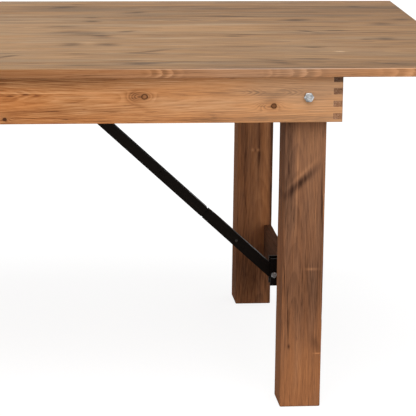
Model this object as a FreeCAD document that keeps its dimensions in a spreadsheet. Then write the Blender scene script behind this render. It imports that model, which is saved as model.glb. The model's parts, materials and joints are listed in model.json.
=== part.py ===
import FreeCAD, Part
import os

import Sketcher

# Folding farm table: a glued board top on finger-jointed aprons, and a pair of legs at each end
# that folds in under the top, held open by a two-link steel brace with an over-centre stop.
# Millimetres. The origin is on the floor under the middle of the top, +X along the table,
# +Y to the rear, +Z up. Each end assembly is the same, turned half round about the origin.

BOARD_COUNT = 11
APRON_SCREW_COUNT = 4
FINGER_PAIRS = 4

# For picking edges: how near the end of its body's box an edge lies, and how straight it runs.
END_SHARE = 0.01
STRAIGHT_SHARE = 0.999

SIZES = {
    "table_length": 2134,
    "table_width": 1016,
    "table_height": 762,
    "top_thickness": 20,
    "board_arris": 1.2,
    "end_overhang": 284,
    "apron_setback": 18,
    "apron_thickness": 20,
    "apron_depth": 100,
    "apron_arris": 1.5,
    "finger_width": 13.4,
    "leg_size": 89,
    "leg_arris": 2.5,
    "leg_end_gap": 9,
    "leg_side_gap": 6,
    "leg_top_gap": 1,
    "stretcher_thickness": 19,
    "stretcher_depth": 89,
    "stretcher_rise": 118,
    "stretcher_arris": 1.5,
    "tenon_thickness": 9,
    "tenon_depth": 60,
    "tenon_length": 25,
    "batten_width": 70,
    "batten_thickness": 19,
    "batten_end_gap": 10,
    "batten_arris": 3,
    "outer_batten_place": 430,
    "running_gap": 0.3,
    "running_play": 0.1,
    "bore_overrun": 5,
    "pivot_bolt_diameter": 12,
    "pivot_head_flats": 19,
    "pivot_head_height": 7.5,
    "pivot_nut_height": 10,
    "pivot_thread_spare": 3,
    "washer_diameter": 32,
    "washer_thickness": 2.7,
    "screw_diameter": 4.5,
    "screw_head_diameter": 9,
    "screw_head_height": 2.5,
    "board_screw_bite": 12,
    "plate_screw_bite": 14,
    "apron_bore_diameter": 10,
    "apron_bore_depth": 38,
    "apron_screw_inset": 183,
    "end_screw_place": 277,
    "anchor_place": 143,
    "brace_offset": 60,
    "foot_pivot_height": 165,
    "foot_pivot_reach": 18,
    "bar_depth": 25,
    "bar_thickness": 2.7,
    "bar_gap": 19.6,
    "bar_end_radius": 4,
    "tongue_width": 16,
    "tongue_depth": 20,
    "tongue_wall": 2,
    "tongue_end": 11,
    "tongue_foot_end": 9,
    "channel_width": 19,
    "channel_rise": 14,
    "channel_drop": 13,
    "channel_wall": 1.5,
    "channel_length": 195,
    "ramp_length": 31,
    "ramp_drop": 1,
    "channel_bar_gap": 2,
    "stop_length": 60,
    "stop_thickness": 2,
    "stop_end_gap": 3,
    "notch_side_gap": 1,
    "brace_pin_diameter": 8,
    "pin_head_diameter": 11,
    "pin_head_height": 2.2,
    "rivet_place": 124,
    "rivet_diameter": 4,
    "rivet_head_diameter": 7,
    "anchor_thickness": 3,
    "anchor_length": 60,
    "anchor_width": 50,
    "anchor_ear_width": 24,
    "anchor_screw_inset": 8,
    "clevis_thickness": 3,
    "clevis_gap": 26.6,
    "clevis_above": 39.4,
    "clevis_below": 27.4,
    "clevis_front": 9,
    "clevis_flange": 22,
    "clevis_screw_inset": 11,
    "clevis_bolt_flats": 13,
    "clevis_head_height": 5.3,
    "clevis_nut_height": 6.5,
    "clevis_thread_spare": 2,
    "bush_diameter": 11,
}

doc = FreeCAD.newDocument("folding_farm_table")
sheet = doc.addObject("Spreadsheet::Sheet", "Sizes")
for row, (name, size) in enumerate(SIZES.items(), start=1):
    sheet.set(f"A{row}", name)
    sheet.set(f"B{row}", str(size))
    sheet.setAlias(f"B{row}", name)
doc.recompute()


def size(name):
    """The expression that names one cell of the sheet."""
    return f"Sizes.{name}"


def value(expression):
    """What an expression comes to, as a plain number in millimetres or degrees."""
    found = sheet.evalExpression(expression)
    return float(getattr(found, "Value", found))


# Places worked out from the sheet, as expressions.

TOP_UNDERSIDE = "(Sizes.table_height - Sizes.top_thickness)"
APRON_FACE_Y = "(Sizes.table_width / 2 - Sizes.apron_setback)"
APRON_FACE_X = "(Sizes.table_length / 2 - Sizes.end_overhang)"
LEG_X = f"({APRON_FACE_X} - Sizes.apron_thickness - Sizes.leg_end_gap - Sizes.leg_size / 2)"
LEG_Y = f"({APRON_FACE_Y} - Sizes.apron_thickness - Sizes.leg_side_gap - Sizes.leg_size / 2)"
PIVOT_Z = f"({TOP_UNDERSIDE} - Sizes.leg_top_gap - Sizes.leg_size / 2)"
LEG_INNER_Y = f"({LEG_Y} - Sizes.leg_size / 2)"
STRETCHER_FACE_X = f"({LEG_X} + Sizes.leg_size / 2 - Sizes.stretcher_thickness)"
BATTEN_HALF = f"({LEG_INNER_Y} - Sizes.batten_end_gap)"
BOARD_WIDTH = f"(Sizes.table_width / {BOARD_COUNT})"

# The brace. Its foot pivot folds to the height of its anchor pivot, so the folded links lie level:
# the two lengths add up to the open span and differ by the folded one.
FOOT_X = f"({STRETCHER_FACE_X} - Sizes.foot_pivot_reach)"
FOOT_Z = "Sizes.foot_pivot_height"
ANCHOR_Z = f"({PIVOT_Z} - {FOOT_X} + {LEG_X})"
ANCHOR_X = "Sizes.anchor_place"
BRACE_SLOPE = f"atan(({ANCHOR_Z} - {FOOT_Z}) / ({FOOT_X} - {ANCHOR_X}))"
OPEN_SPAN = f"hypot({FOOT_X} - {ANCHOR_X}; {ANCHOR_Z} - {FOOT_Z})"
FOLDED_SPAN = f"({LEG_X} - {PIVOT_Z} + {FOOT_Z} - {ANCHOR_X})"
UPPER_LENGTH = f"(({OPEN_SPAN} + {FOLDED_SPAN}) / 2)"
LOWER_LENGTH = f"(({OPEN_SPAN} - {FOLDED_SPAN}) / 2)"
CHANNEL_END = "(Sizes.channel_length + Sizes.ramp_length)"
BAR_REACH = f"({OPEN_SPAN} - {CHANNEL_END} - Sizes.channel_bar_gap)"

HALF_TURN = "placement(vector(0; 0; 0); rotation(vector(0; 0; 1); 180)) * "
NO_TURN = "rotation(vector(0; 0; 1); 0)"
BRACE_TURN = f"rotation(vector(0; 1; 0); {BRACE_SLOPE})"
SIDES = ("right", "left")


def place(item, side, x, y, z, turn=NO_TURN):
    """Put an item at a place of the right end, or at the same place of the left end."""
    half_turn = HALF_TURN if side == "left" else ""
    item.setExpression("Placement", f"{half_turn}placement(vector({x}; {y}; {z}); {turn})")


def facing(side, row):
    """Which row, front or rear, an item of the right end stands in once it is on this side."""
    if side == "right":
        return row
    return {"front": "rear", "rear": "front"}[row]


# Features shared by the sub-parts.


def new_body(label):
    """An empty body under a node's name."""
    body = doc.addObject("PartDesign::Body", label)
    body.Label = label
    return body


def new_sketch(body, role, lift="0"):
    """A sketch on one of the body's own planes, lifted along the plane's normal."""
    sketch = body.newObject("Sketcher::SketchObject", "outline")
    plane = next(feature for feature in body.Origin.OriginFeatures if feature.Role == role)
    sketch.AttachmentSupport = [(plane, "")]
    sketch.MapMode = "FlatFace"
    sketch.setExpression("AttachmentOffset.Base.z", lift)
    return sketch


def bind(sketch, constraint, expression):
    """Add one constraint and tie it to an expression."""
    index = sketch.addConstraint(constraint)
    sketch.setExpression(f"Constraints[{index}]", expression)


def draw_outline(sketch, corners):
    """A closed outline through corners given as pairs of expressions."""
    points = [FreeCAD.Vector(value(x), value(y), 0) for x, y in corners]
    first = sketch.GeometryCount
    count = len(corners)
    for index, point in enumerate(points):
        sketch.addGeometry(Part.LineSegment(point, points[(index + 1) % count]))
    for index in range(count):
        follower = first + (index + 1) % count
        sketch.addConstraint(Sketcher.Constraint("Coincident", first + index, 2, follower, 1))
    for index, (x, y) in enumerate(corners):
        line = first + index
        bind(sketch, Sketcher.Constraint("DistanceX", -1, 1, line, 1, points[index].x), x)
        bind(sketch, Sketcher.Constraint("DistanceY", -1, 1, line, 1, points[index].y), y)


def draw_circles(sketch, centres, diameter):
    """Circles of one diameter about centres given as pairs of expressions."""
    for x, y in centres:
        centre = FreeCAD.Vector(value(x), value(y), 0)
        circle = sketch.addGeometry(
            Part.Circle(centre, FreeCAD.Vector(0, 0, 1), value(diameter) / 2)
        )
        bind(sketch, Sketcher.Constraint("DistanceX", -1, 1, circle, 3, centre.x), x)
        bind(sketch, Sketcher.Constraint("DistanceY", -1, 1, circle, 3, centre.y), y)
        bind(sketch, Sketcher.Constraint("Diameter", circle, value(diameter)), diameter)


def draw_hexagon(sketch, flats):
    """A regular hexagon about the sketch's origin, measured across its flats."""
    radius = value(flats) / 2 / value("cos(30)")
    corners = [
        FreeCAD.Vector(radius * value(f"cos({60 * k})"), radius * value(f"sin({60 * k})"), 0)
        for k in range(6)
    ]
    for k in range(6):
        sketch.addGeometry(Part.LineSegment(corners[k], corners[(k + 1) % 6]))
    guide = sketch.addGeometry(Part.Circle(FreeCAD.Vector(), FreeCAD.Vector(0, 0, 1), radius), True)
    for k in range(6):
        sketch.addConstraint(Sketcher.Constraint("Coincident", k, 2, (k + 1) % 6, 1))
        sketch.addConstraint(Sketcher.Constraint("PointOnObject", k, 1, guide))
    for k in range(5):
        sketch.addConstraint(Sketcher.Constraint("Equal", k, k + 1))
    sketch.addConstraint(Sketcher.Constraint("Coincident", guide, 3, -1, 1))
    sketch.addConstraint(Sketcher.Constraint("PointOnObject", 0, 1, -1))
    bind(sketch, Sketcher.Constraint("Diameter", guide, 2 * radius), f"{flats} / cos(30)")


def box_outline(width, height, x="0", y="0"):
    """The corners of a rectangle about a centre."""
    left, right = f"({x}) - ({width}) / 2", f"({x}) + ({width}) / 2"
    low, high = f"({y}) - ({height}) / 2", f"({y}) + ({height}) / 2"
    return [(left, low), (right, low), (right, high), (left, high)]


def extrude(body, kind, sketch, length):
    """A pad or pocket that runs half its length to each side of its sketch."""
    feature = body.newObject(f"PartDesign::{kind}", kind.lower())
    feature.Profile = sketch
    feature.Midplane = True
    feature.setExpression("Length", length)
    return feature


def pad(body, role, corners, length, lift="0"):
    """Add a prism of an outline to a body."""
    sketch = new_sketch(body, role, lift)
    draw_outline(sketch, corners)
    return extrude(body, "Pad", sketch, length)


def pad_round(body, role, centres, diameter, length, lift="0"):
    """Add round bars to a body."""
    sketch = new_sketch(body, role, lift)
    draw_circles(sketch, centres, diameter)
    return extrude(body, "Pad", sketch, length)


def pocket(body, role, corners, length, lift="0"):
    """Cut a prism of an outline out of a body."""
    sketch = new_sketch(body, role, lift)
    draw_outline(sketch, corners)
    return extrude(body, "Pocket", sketch, length)


def bore(body, role, centres, diameter, length, lift="0"):
    """Cut round holes out of a body."""
    sketch = new_sketch(body, role, lift)
    draw_circles(sketch, centres, diameter)
    return extrude(body, "Pocket", sketch, length)


def ease(body, kind, amount, wanted):
    """Round or chamfer the body's edges that a test picks."""
    doc.recompute()
    base = body.Tip
    edges = [
        f"Edge{number}" for number, edge in enumerate(base.Shape.Edges, start=1) if wanted(edge)
    ]
    feature = body.newObject(f"PartDesign::{kind}", kind.lower())
    feature.Base = (base, edges)
    feature.setExpression("Radius" if kind == "Fillet" else "Size", amount)
    return feature


def runs_along(edge, axis):
    """Whether an edge is straight and lies along an axis of its body."""
    if edge.Curve.TypeId != "Part::GeomLine":
        return False
    step = edge.lastVertex().Point - edge.firstVertex().Point
    return abs(getattr(step, axis)) > STRAIGHT_SHARE * step.Length


def share_along(edge, axis, box):
    """How far along an axis an edge's middle lies, from 0 to 1 of its body's box."""
    low, high = getattr(box, f"{axis.upper()}Min"), getattr(box, f"{axis.upper()}Max")
    return (getattr(edge.CenterOfMass, axis) - low) / (high - low)


def group(label, pattern, places):
    """One node of separate copies of a pattern piece, each at its own placement."""
    doc.recompute()
    node = doc.addObject("Part::Feature", label)
    node.Label = label
    copies = []
    for placement in places:
        copy = pattern.Shape.copy()
        copy.Placement = placement.multiply(pattern.Shape.Placement)
        copies.append(copy)
    node.Shape = Part.makeCompound(copies)
    return node


def spot(x, y, z, axis=(0, 0, 1), degrees=0):
    """A placement from numbers."""
    turn = FreeCAD.Rotation(FreeCAD.Vector(*axis), degrees)
    return FreeCAD.Placement(FreeCAD.Vector(x, y, z), turn)


def at_side(side, placement):
    """A right-end placement, or the same one of the left end."""
    if side == "right":
        return placement
    return spot(0, 0, 0, (0, 0, 1), 180).multiply(placement)


# Top: boards edge to edge, each bored from below for the screws that reach it.

BATTEN_XS = (ANCHOR_X, size("outer_batten_place"))
APRON_Y = f"({APRON_FACE_Y} - Sizes.apron_thickness / 2)"
APRON_X = f"({APRON_FACE_X} - Sizes.apron_thickness / 2)"


def board_centre(index):
    """The expression for the middle of a board across the table."""
    return f"({BOARD_WIDTH} * ({index} - {(BOARD_COUNT - 1) / 2}))"


def apron_screw_x(index):
    """The expression for one of the screws along a long apron."""
    half_run = f"({APRON_FACE_X} - Sizes.apron_screw_inset)"
    return f"({half_run} * {2 * index / (APRON_SCREW_COUNT - 1) - 1})"


def battened(index):
    """Whether the battens reach the middle of a board."""
    return abs(value(board_centre(index))) < value(f"{BATTEN_HALF} - Sizes.screw_head_diameter")


def board_bores(index):
    """Where the screws come up into a board, in the board's own frame."""
    centres = []
    if battened(index):
        centres += [(f"{sign}{x}", "0") for x in BATTEN_XS for sign in ("", "-")]
    for sign in ("", "-"):
        edge = f"({sign}{APRON_Y} - {board_centre(index)})"
        if abs(value(edge)) < value(BOARD_WIDTH) / 2:
            centres += [(apron_screw_x(k), edge) for k in range(APRON_SCREW_COUNT)]
        place_y = f"({sign}Sizes.end_screw_place - {board_centre(index)})"
        if abs(value(place_y)) < value(BOARD_WIDTH) / 2:
            centres += [(APRON_X, place_y), (f"-{APRON_X}", place_y)]
    return centres


def make_board(index):
    board = new_body(f"top_board_{index + 1:02d}")
    section = box_outline(BOARD_WIDTH, size("top_thickness"), y="Sizes.top_thickness / 2")
    pad(board, "YZ_Plane", section, size("table_length"))
    centres = board_bores(index)
    if centres:
        bore(board, "XY_Plane", centres, size("screw_diameter"), "2 * Sizes.board_screw_bite")
    doc.recompute()
    box = board.Shape.BoundBox
    ease(
        board, "Fillet", size("board_arris"),
        lambda edge: share_along(edge, "z", box) > 1 - END_SHARE
        and edge.Curve.TypeId == "Part::GeomLine",
    )
    place(board, "right", "0", board_centre(index), TOP_UNDERSIDE)
    return board


nodes = [make_board(index) for index in range(BOARD_COUNT)]


# Aprons: their corners are finger joints, counted from the top edge down.


def finger_notches(apron, length, first):
    """Cut the notches for the other apron's fingers at both ends, by a pattern down the end."""
    middle = f"-({first} + 0.5) * Sizes.finger_width"
    sketch = new_sketch(apron, "XZ_Plane")
    for sign in ("", "-"):
        end = f"{sign}(({length}) / 2)"
        draw_outline(
            sketch, box_outline("2 * Sizes.apron_thickness", size("finger_width"), end, middle)
        )
    cut = extrude(apron, "Pocket", sketch, "2 * Sizes.apron_thickness + 2 * Sizes.bore_overrun")
    pattern = apron.newObject("PartDesign::LinearPattern", "fingers")
    pattern.Originals = [cut]
    pattern.Direction = (sketch, ["V_Axis"])
    pattern.Reversed = True
    pattern.Mode = "Spacing"
    pattern.setExpression("Offset", "2 * Sizes.finger_width")
    pattern.Occurrences = FINGER_PAIRS
    apron.Tip = pattern


def make_apron(label, length, first, screw_xs, pivot_xs=()):
    """An apron in its own frame: along X, its top edge at z 0, its outer face to -Y."""
    apron = new_body(label)
    board = box_outline(length, size("apron_depth"), y="-Sizes.apron_depth / 2")
    pad(apron, "XZ_Plane", board, size("apron_thickness"))
    doc.recompute()
    box = apron.Shape.BoundBox
    ease(
        apron, "Fillet", size("apron_arris"),
        lambda edge: runs_along(edge, "x") and share_along(edge, "z", box) < END_SHARE,
    )
    finger_notches(apron, length, first)
    centres = [(x, "0") for x in screw_xs]
    bore(apron, "XY_Plane", centres, size("screw_diameter"), "2 * Sizes.apron_depth")
    bore(
        apron, "XY_Plane", centres, size("apron_bore_diameter"), "2 * Sizes.apron_bore_depth",
        lift="-Sizes.apron_depth",
    )
    if pivot_xs:
        bore(
            apron, "XZ_Plane", [(x, f"{PIVOT_Z} - {TOP_UNDERSIDE}") for x in pivot_xs],
            size("pivot_bolt_diameter"), "2 * Sizes.apron_thickness",
        )
    return apron


LONG_APRON = f"(2 * {APRON_FACE_X})"
END_APRON = f"(2 * {APRON_FACE_Y})"
QUARTER_TURN = "rotation(vector(0; 0; 1); 90)"
for side, long_label, end_label in (
    ("right", "front_apron", "right_end_apron"),
    ("left", "rear_apron", "left_end_apron"),
):
    screw_xs = [apron_screw_x(k) for k in range(APRON_SCREW_COUNT)]
    long_apron = make_apron(long_label, LONG_APRON, 0, screw_xs, (LEG_X, f"-{LEG_X}"))
    place(long_apron, side, "0", f"-{APRON_Y}", TOP_UNDERSIDE)
    end_places = ["Sizes.end_screw_place", "-Sizes.end_screw_place"]
    end_apron = make_apron(end_label, END_APRON, 1, end_places)
    place(end_apron, side, APRON_X, "0", TOP_UNDERSIDE, QUARTER_TURN)
    nodes += [long_apron, end_apron]


# Battens: under the boards, between the two rows of folded legs.


def make_batten(label, side, x, plate_y=None):
    batten = new_body(label)
    section = box_outline(size("batten_width"), size("batten_thickness"),
                          y="-Sizes.batten_thickness / 2")
    pad(batten, "XZ_Plane", section, f"2 * {BATTEN_HALF}")
    doc.recompute()
    box = batten.Shape.BoundBox
    ease(
        batten, "Chamfer", size("batten_arris"),
        lambda edge: share_along(edge, "z", box) < END_SHARE,
    )
    reach = "2 * Sizes.batten_thickness + 2 * Sizes.bore_overrun"
    centres = [("0", board_centre(k)) for k in range(BOARD_COUNT) if battened(k)]
    bore(batten, "XY_Plane", centres, size("screw_diameter"), reach)
    if plate_y is not None:
        bore(
            batten, "XY_Plane", plate_screws(plate_y), size("screw_diameter"),
            "2 * Sizes.plate_screw_bite", lift="-Sizes.batten_thickness",
        )
    place(batten, side, x, "0", TOP_UNDERSIDE)
    return batten


def plate_screws(y="0"):
    """The four screws of a brace anchor's plate, about its pivot."""
    across = "(Sizes.anchor_length / 2 - Sizes.anchor_screw_inset)"
    along = "(Sizes.anchor_width / 2 - Sizes.anchor_screw_inset)"
    return [(f"{a}{across}", f"({y}) {b} {along}") for a in ("", "-") for b in ("+", "-")]


for side in SIDES:
    inner = make_batten(f"{side}_inner_batten", side, ANCHOR_X, size("brace_offset"))
    outer = make_batten(f"{side}_outer_batten", side, size("outer_batten_place"))
    nodes += [inner, outer]


# Screws, bolts, washers and nuts: one pattern piece for each kind.


def make_screw(label, length):
    """A pan-head screw, its shank up from z 0 and its head below."""
    screw = new_body(label)
    pad_round(screw, "XY_Plane", [("0", "0")], size("screw_diameter"), length,
              lift=f"({length}) / 2")
    head = pad_round(screw, "XY_Plane", [("0", "0")], size("screw_head_diameter"),
                     size("screw_head_height"), lift="-Sizes.screw_head_height / 2")
    doc.recompute()
    box = screw.Shape.BoundBox
    ease(
        screw, "Fillet", "Sizes.screw_head_height / 2",
        lambda edge: edge.Curve.TypeId == "Part::GeomCircle" and share_along(edge, "z", box) < END_SHARE,
    )
    return screw


def make_hex_bolt(label, diameter, length, flats, head_height):
    """A hexagon bolt along Y, its shank from y 0 to the rear and its head in front."""
    bolt = new_body(label)
    pad_round(bolt, "XZ_Plane", [("0", "0")], diameter, length, lift=f"-({length}) / 2")
    head = new_sketch(bolt, "XZ_Plane", f"({head_height}) / 2")
    draw_hexagon(head, flats)
    extrude(bolt, "Pad", head, head_height)
    return bolt


def make_ring(label, outer, inner, thickness, hexagon=False):
    """A washer, bush or nut about Y, its front face at y 0."""
    ring = new_body(label)
    sketch = new_sketch(ring, "XZ_Plane", f"-({thickness}) / 2")
    if hexagon:
        draw_hexagon(sketch, outer)
    else:
        draw_circles(sketch, [("0", "0")], outer)
    draw_circles(sketch, [("0", "0")], inner)
    extrude(ring, "Pad", sketch, thickness)
    return ring


batten_screw = make_screw(
    "batten_screw_pattern", "Sizes.batten_thickness + Sizes.board_screw_bite"
)
batten_spots = [
    at_side(side, spot(value(x), value(board_centre(k)),
                       value(f"{TOP_UNDERSIDE} - Sizes.batten_thickness")))
    for side in SIDES for x in BATTEN_XS for k in range(BOARD_COUNT) if battened(k)
]
nodes.append(group("batten_screws", batten_screw, batten_spots))

apron_screw = make_screw(
    "apron_screw_pattern",
    "Sizes.apron_depth - Sizes.apron_bore_depth + Sizes.board_screw_bite",
)
apron_screw_z = value(f"{TOP_UNDERSIDE} - Sizes.apron_depth + Sizes.apron_bore_depth")
apron_spots = [
    at_side(side, spot(value(apron_screw_x(k)), -value(APRON_Y), apron_screw_z))
    for side in SIDES for k in range(APRON_SCREW_COUNT)
]
apron_spots += [
    at_side(side, spot(value(APRON_X), sign * value(size("end_screw_place")), apron_screw_z))
    for side in SIDES for sign in (1, -1)
]
nodes.append(group("apron_screws", apron_screw, apron_spots))

NUT_FACE = "(Sizes.apron_thickness + Sizes.leg_side_gap + Sizes.leg_size + Sizes.running_gap)"
PIVOT_LENGTH = (
    f"({NUT_FACE} + Sizes.washer_thickness + Sizes.pivot_nut_height + Sizes.pivot_thread_spare)"
)
pivot_bolt = make_hex_bolt(
    "pivot_bolt_pattern", size("pivot_bolt_diameter"), PIVOT_LENGTH, size("pivot_head_flats"),
    size("pivot_head_height"),
)
pivot_washer = make_ring(
    "pivot_washer_pattern", size("washer_diameter"), size("pivot_bolt_diameter"),
    size("washer_thickness"),
)
pivot_nut = make_ring(
    "pivot_nut_pattern", size("pivot_head_flats"), size("pivot_bolt_diameter"),
    size("pivot_nut_height"), hexagon=True,
)


def pivot_spots(depths):
    """Placements at the four leg pivots, at depths behind the apron's outer face."""
    spots = []
    for side in SIDES:
        for depth in depths:
            for sign in (1, -1):
                at_front = spot(sign * value(LEG_X), value(f"{depth} - {APRON_FACE_Y}"),
                                value(PIVOT_Z))
                spots.append(at_side(side, at_front))
    return spots


WASHER_DEPTHS = (
    size("apron_thickness"),
    "Sizes.apron_thickness + Sizes.washer_thickness",
    NUT_FACE,
)
nodes.append(group("pivot_bolts", pivot_bolt, pivot_spots(["0"])))
nodes.append(group("pivot_washers", pivot_washer, pivot_spots(WASHER_DEPTHS)))
nodes.append(
    group("pivot_nuts", pivot_nut, pivot_spots([f"({NUT_FACE} + Sizes.washer_thickness)"]))
)


# Brace anchors: a plate under the inner batten with two ears, and a headed pin through them.

ANCHOR_TOP = f"({TOP_UNDERSIDE} - Sizes.batten_thickness - {ANCHOR_Z})"
EAR_FACE = "(Sizes.bar_gap / 2 - Sizes.running_gap)"
PIN_BORE = "(Sizes.brace_pin_diameter + 2 * Sizes.running_play)"


def make_anchor(side):
    """The anchor about its pin: the ears hang from the plate, round the pin."""
    anchor = new_body(f"{side}_brace_anchor")
    plate = box_outline(size("anchor_length"), size("anchor_width"))
    pad(anchor, "XY_Plane", plate, size("anchor_thickness"),
        lift=f"{ANCHOR_TOP} - Sizes.anchor_thickness / 2")
    ear = box_outline(size("anchor_ear_width"), ANCHOR_TOP, y=f"{ANCHOR_TOP} / 2")
    pad(anchor, "XZ_Plane", ear, f"2 * {EAR_FACE}")
    pad_round(anchor, "XZ_Plane", [("0", "0")], size("anchor_ear_width"), f"2 * {EAR_FACE}")
    throat = box_outline(
        "2 * Sizes.anchor_ear_width", f"{ANCHOR_TOP} - Sizes.anchor_thickness + "
        "Sizes.anchor_ear_width",
        y=f"({ANCHOR_TOP} - Sizes.anchor_thickness - Sizes.anchor_ear_width) / 2",
    )
    pocket(anchor, "XZ_Plane", throat, f"2 * ({EAR_FACE} - Sizes.anchor_thickness)")
    bore(anchor, "XZ_Plane", [("0", "0")], size("brace_pin_diameter"), size("anchor_width"))
    bore(anchor, "XY_Plane", plate_screws(), size("screw_diameter"),
         "2 * Sizes.anchor_thickness + 2 * Sizes.bore_overrun", lift=ANCHOR_TOP)
    place(anchor, side, ANCHOR_X, size("brace_offset"), ANCHOR_Z)
    return anchor


def make_pin(label):
    """A pin with two heads, about Y."""
    pin = new_body(label)
    grip = "(Sizes.bar_gap + 2 * Sizes.bar_thickness + 2 * Sizes.running_gap)"
    pad_round(pin, "XZ_Plane", [("0", "0")], size("brace_pin_diameter"), grip)
    for sign in ("", "-"):
        pad_round(pin, "XZ_Plane", [("0", "0")], size("pin_head_diameter"),
                  size("pin_head_height"), lift=f"{sign}({grip} + Sizes.pin_head_height) / 2")
    doc.recompute()
    box = pin.Shape.BoundBox
    ease(
        pin, "Fillet", "Sizes.pin_head_height / 2",
        lambda edge: edge.Curve.TypeId == "Part::GeomCircle"
        and abs(share_along(edge, "y", box) - 1 / 2) > 1 / 2 - END_SHARE,
    )
    return pin


nodes += [make_anchor(side) for side in SIDES]
anchor_pin = make_pin("anchor_pin_pattern")
anchor_spots = [
    at_side(side, spot(value(ANCHOR_X), value(size("brace_offset")), value(ANCHOR_Z)))
    for side in SIDES
]
nodes.append(group("anchor_pins", anchor_pin, anchor_spots))

plate_screw = make_screw(
    "plate_screw_pattern", "Sizes.anchor_thickness + Sizes.plate_screw_bite"
)
plate_spots = [
    at_side(side, spot(value(f"{ANCHOR_X} + {x}"), value(f"Sizes.brace_offset + {y}"),
                       value(f"{ANCHOR_Z} + {ANCHOR_TOP} - Sizes.anchor_thickness")))
    for side in SIDES for x, y in plate_screws()
]
nodes.append(group("anchor_screws", plate_screw, plate_spots))


# Leg frames: two legs with round tops about their bolts, and a tenoned stretcher low down.

TENON_X = f"({STRETCHER_FACE_X} + Sizes.stretcher_thickness / 2)"
STRETCHER_Z = "(Sizes.stretcher_rise + Sizes.stretcher_depth / 2)"


def make_leg(side, row):
    """A leg about its pivot bolt."""
    leg = new_body(f"{side}_{facing(side, row)}_leg")
    sign = "-" if row == "front" else ""
    square = box_outline(size("leg_size"), size("leg_size"))
    pad(leg, "XY_Plane", square, PIVOT_Z, lift=f"-{PIVOT_Z} / 2")
    pad_round(leg, "XZ_Plane", [("0", "0")], size("leg_size"), size("leg_size"))
    doc.recompute()
    box = leg.Shape.BoundBox
    ease(
        leg, "Chamfer", size("leg_arris"),
        lambda edge: runs_along(edge, "z") or share_along(edge, "z", box) < END_SHARE,
    )
    bore(leg, "XZ_Plane", [("0", "0")], "Sizes.pivot_bolt_diameter + 2 * Sizes.running_play",
         "2 * Sizes.leg_size")
    mortise = box_outline(size("tenon_thickness"), size("tenon_depth"), f"{TENON_X} - {LEG_X}",
                          f"{STRETCHER_Z} - {PIVOT_Z}")
    pocket(leg, "XZ_Plane", mortise, "2 * Sizes.tenon_length", lift=f"{sign}Sizes.leg_size / 2")
    place(leg, side, LEG_X, f"{sign}{LEG_Y}", PIVOT_Z)
    return leg


def clevis_screws(y="0", z="0"):
    """The four screws of a clevis's flanges, about its bolt."""
    across = "(Sizes.clevis_gap / 2 + Sizes.clevis_thickness + Sizes.clevis_flange / 2)"
    high = "(Sizes.clevis_above - Sizes.clevis_screw_inset)"
    low = "(Sizes.clevis_screw_inset - Sizes.clevis_below)"
    return [(f"({y}) {sign} {across}", f"({z}) + {rise}") for sign in "+-" for rise in (high, low)]


def make_stretcher(side):
    """The stretcher about the middle of its length and section."""
    stretcher = new_body(f"{side}_stretcher")
    board = box_outline(size("stretcher_thickness"), size("stretcher_depth"))
    pad(stretcher, "XZ_Plane", board, f"2 * {LEG_INNER_Y}")
    ease(stretcher, "Fillet", size("stretcher_arris"), lambda edge: runs_along(edge, "y"))
    tenon = box_outline(size("tenon_thickness"), size("tenon_depth"))
    pad(stretcher, "XZ_Plane", tenon, f"2 * {LEG_INNER_Y} + 2 * Sizes.tenon_length")
    bore(
        stretcher, "YZ_Plane",
        clevis_screws(size("brace_offset"), f"{FOOT_Z} - {STRETCHER_Z}"), size("screw_diameter"),
        "2 * Sizes.plate_screw_bite", lift="-Sizes.stretcher_thickness / 2",
    )
    place(stretcher, side, TENON_X, "0", STRETCHER_Z)
    return stretcher


CLEVIS_BACK = "(Sizes.foot_pivot_reach - Sizes.clevis_thickness)"
CLEVIS_HALF = "(Sizes.clevis_gap / 2 + Sizes.clevis_thickness)"


def make_clevis(side):
    """The bracket about its bolt: two cheeks forward of a flanged plate on the stretcher."""
    clevis = new_body(f"{side}_clevis")
    middle = "(Sizes.clevis_above - Sizes.clevis_below) / 2"
    height = "Sizes.clevis_above + Sizes.clevis_below"
    cheeks = box_outline(
        "Sizes.clevis_front + Sizes.foot_pivot_reach", height,
        "(Sizes.foot_pivot_reach - Sizes.clevis_front) / 2", middle,
    )
    pad(clevis, "XZ_Plane", cheeks, f"2 * {CLEVIS_HALF}")
    flanges = box_outline(
        size("clevis_thickness"), height,
        "Sizes.foot_pivot_reach - Sizes.clevis_thickness / 2", middle,
    )
    pad(clevis, "XZ_Plane", flanges, f"2 * {CLEVIS_HALF} + 2 * Sizes.clevis_flange")
    throat = box_outline(
        "Sizes.clevis_front + Sizes.foot_pivot_reach", f"2 * ({height})",
        f"{CLEVIS_BACK} - (Sizes.clevis_front + Sizes.foot_pivot_reach) / 2", middle,
    )
    pocket(clevis, "XZ_Plane", throat, size("clevis_gap"))
    bore(clevis, "XZ_Plane", [("0", "0")], size("brace_pin_diameter"), "3 * Sizes.clevis_gap")
    bore(clevis, "YZ_Plane", clevis_screws(), size("screw_diameter"),
         "2 * Sizes.clevis_thickness + 2 * Sizes.bore_overrun", lift=size("foot_pivot_reach"))
    place(clevis, side, FOOT_X, size("brace_offset"), FOOT_Z)
    return clevis


clevis_bolt = make_hex_bolt(
    "clevis_bolt_pattern", size("brace_pin_diameter"),
    f"2 * {CLEVIS_HALF} + Sizes.clevis_nut_height + Sizes.clevis_thread_spare",
    size("clevis_bolt_flats"), size("clevis_head_height"),
)
clevis_nut = make_ring(
    "clevis_nut_pattern", size("clevis_bolt_flats"), size("brace_pin_diameter"),
    size("clevis_nut_height"), hexagon=True,
)
BUSH_LENGTH = "(Sizes.clevis_gap / 2 - Sizes.channel_width / 2 - Sizes.running_gap)"
clevis_bush = make_ring(
    "clevis_bush_pattern", size("bush_diameter"), size("brace_pin_diameter"), BUSH_LENGTH,
)


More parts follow.
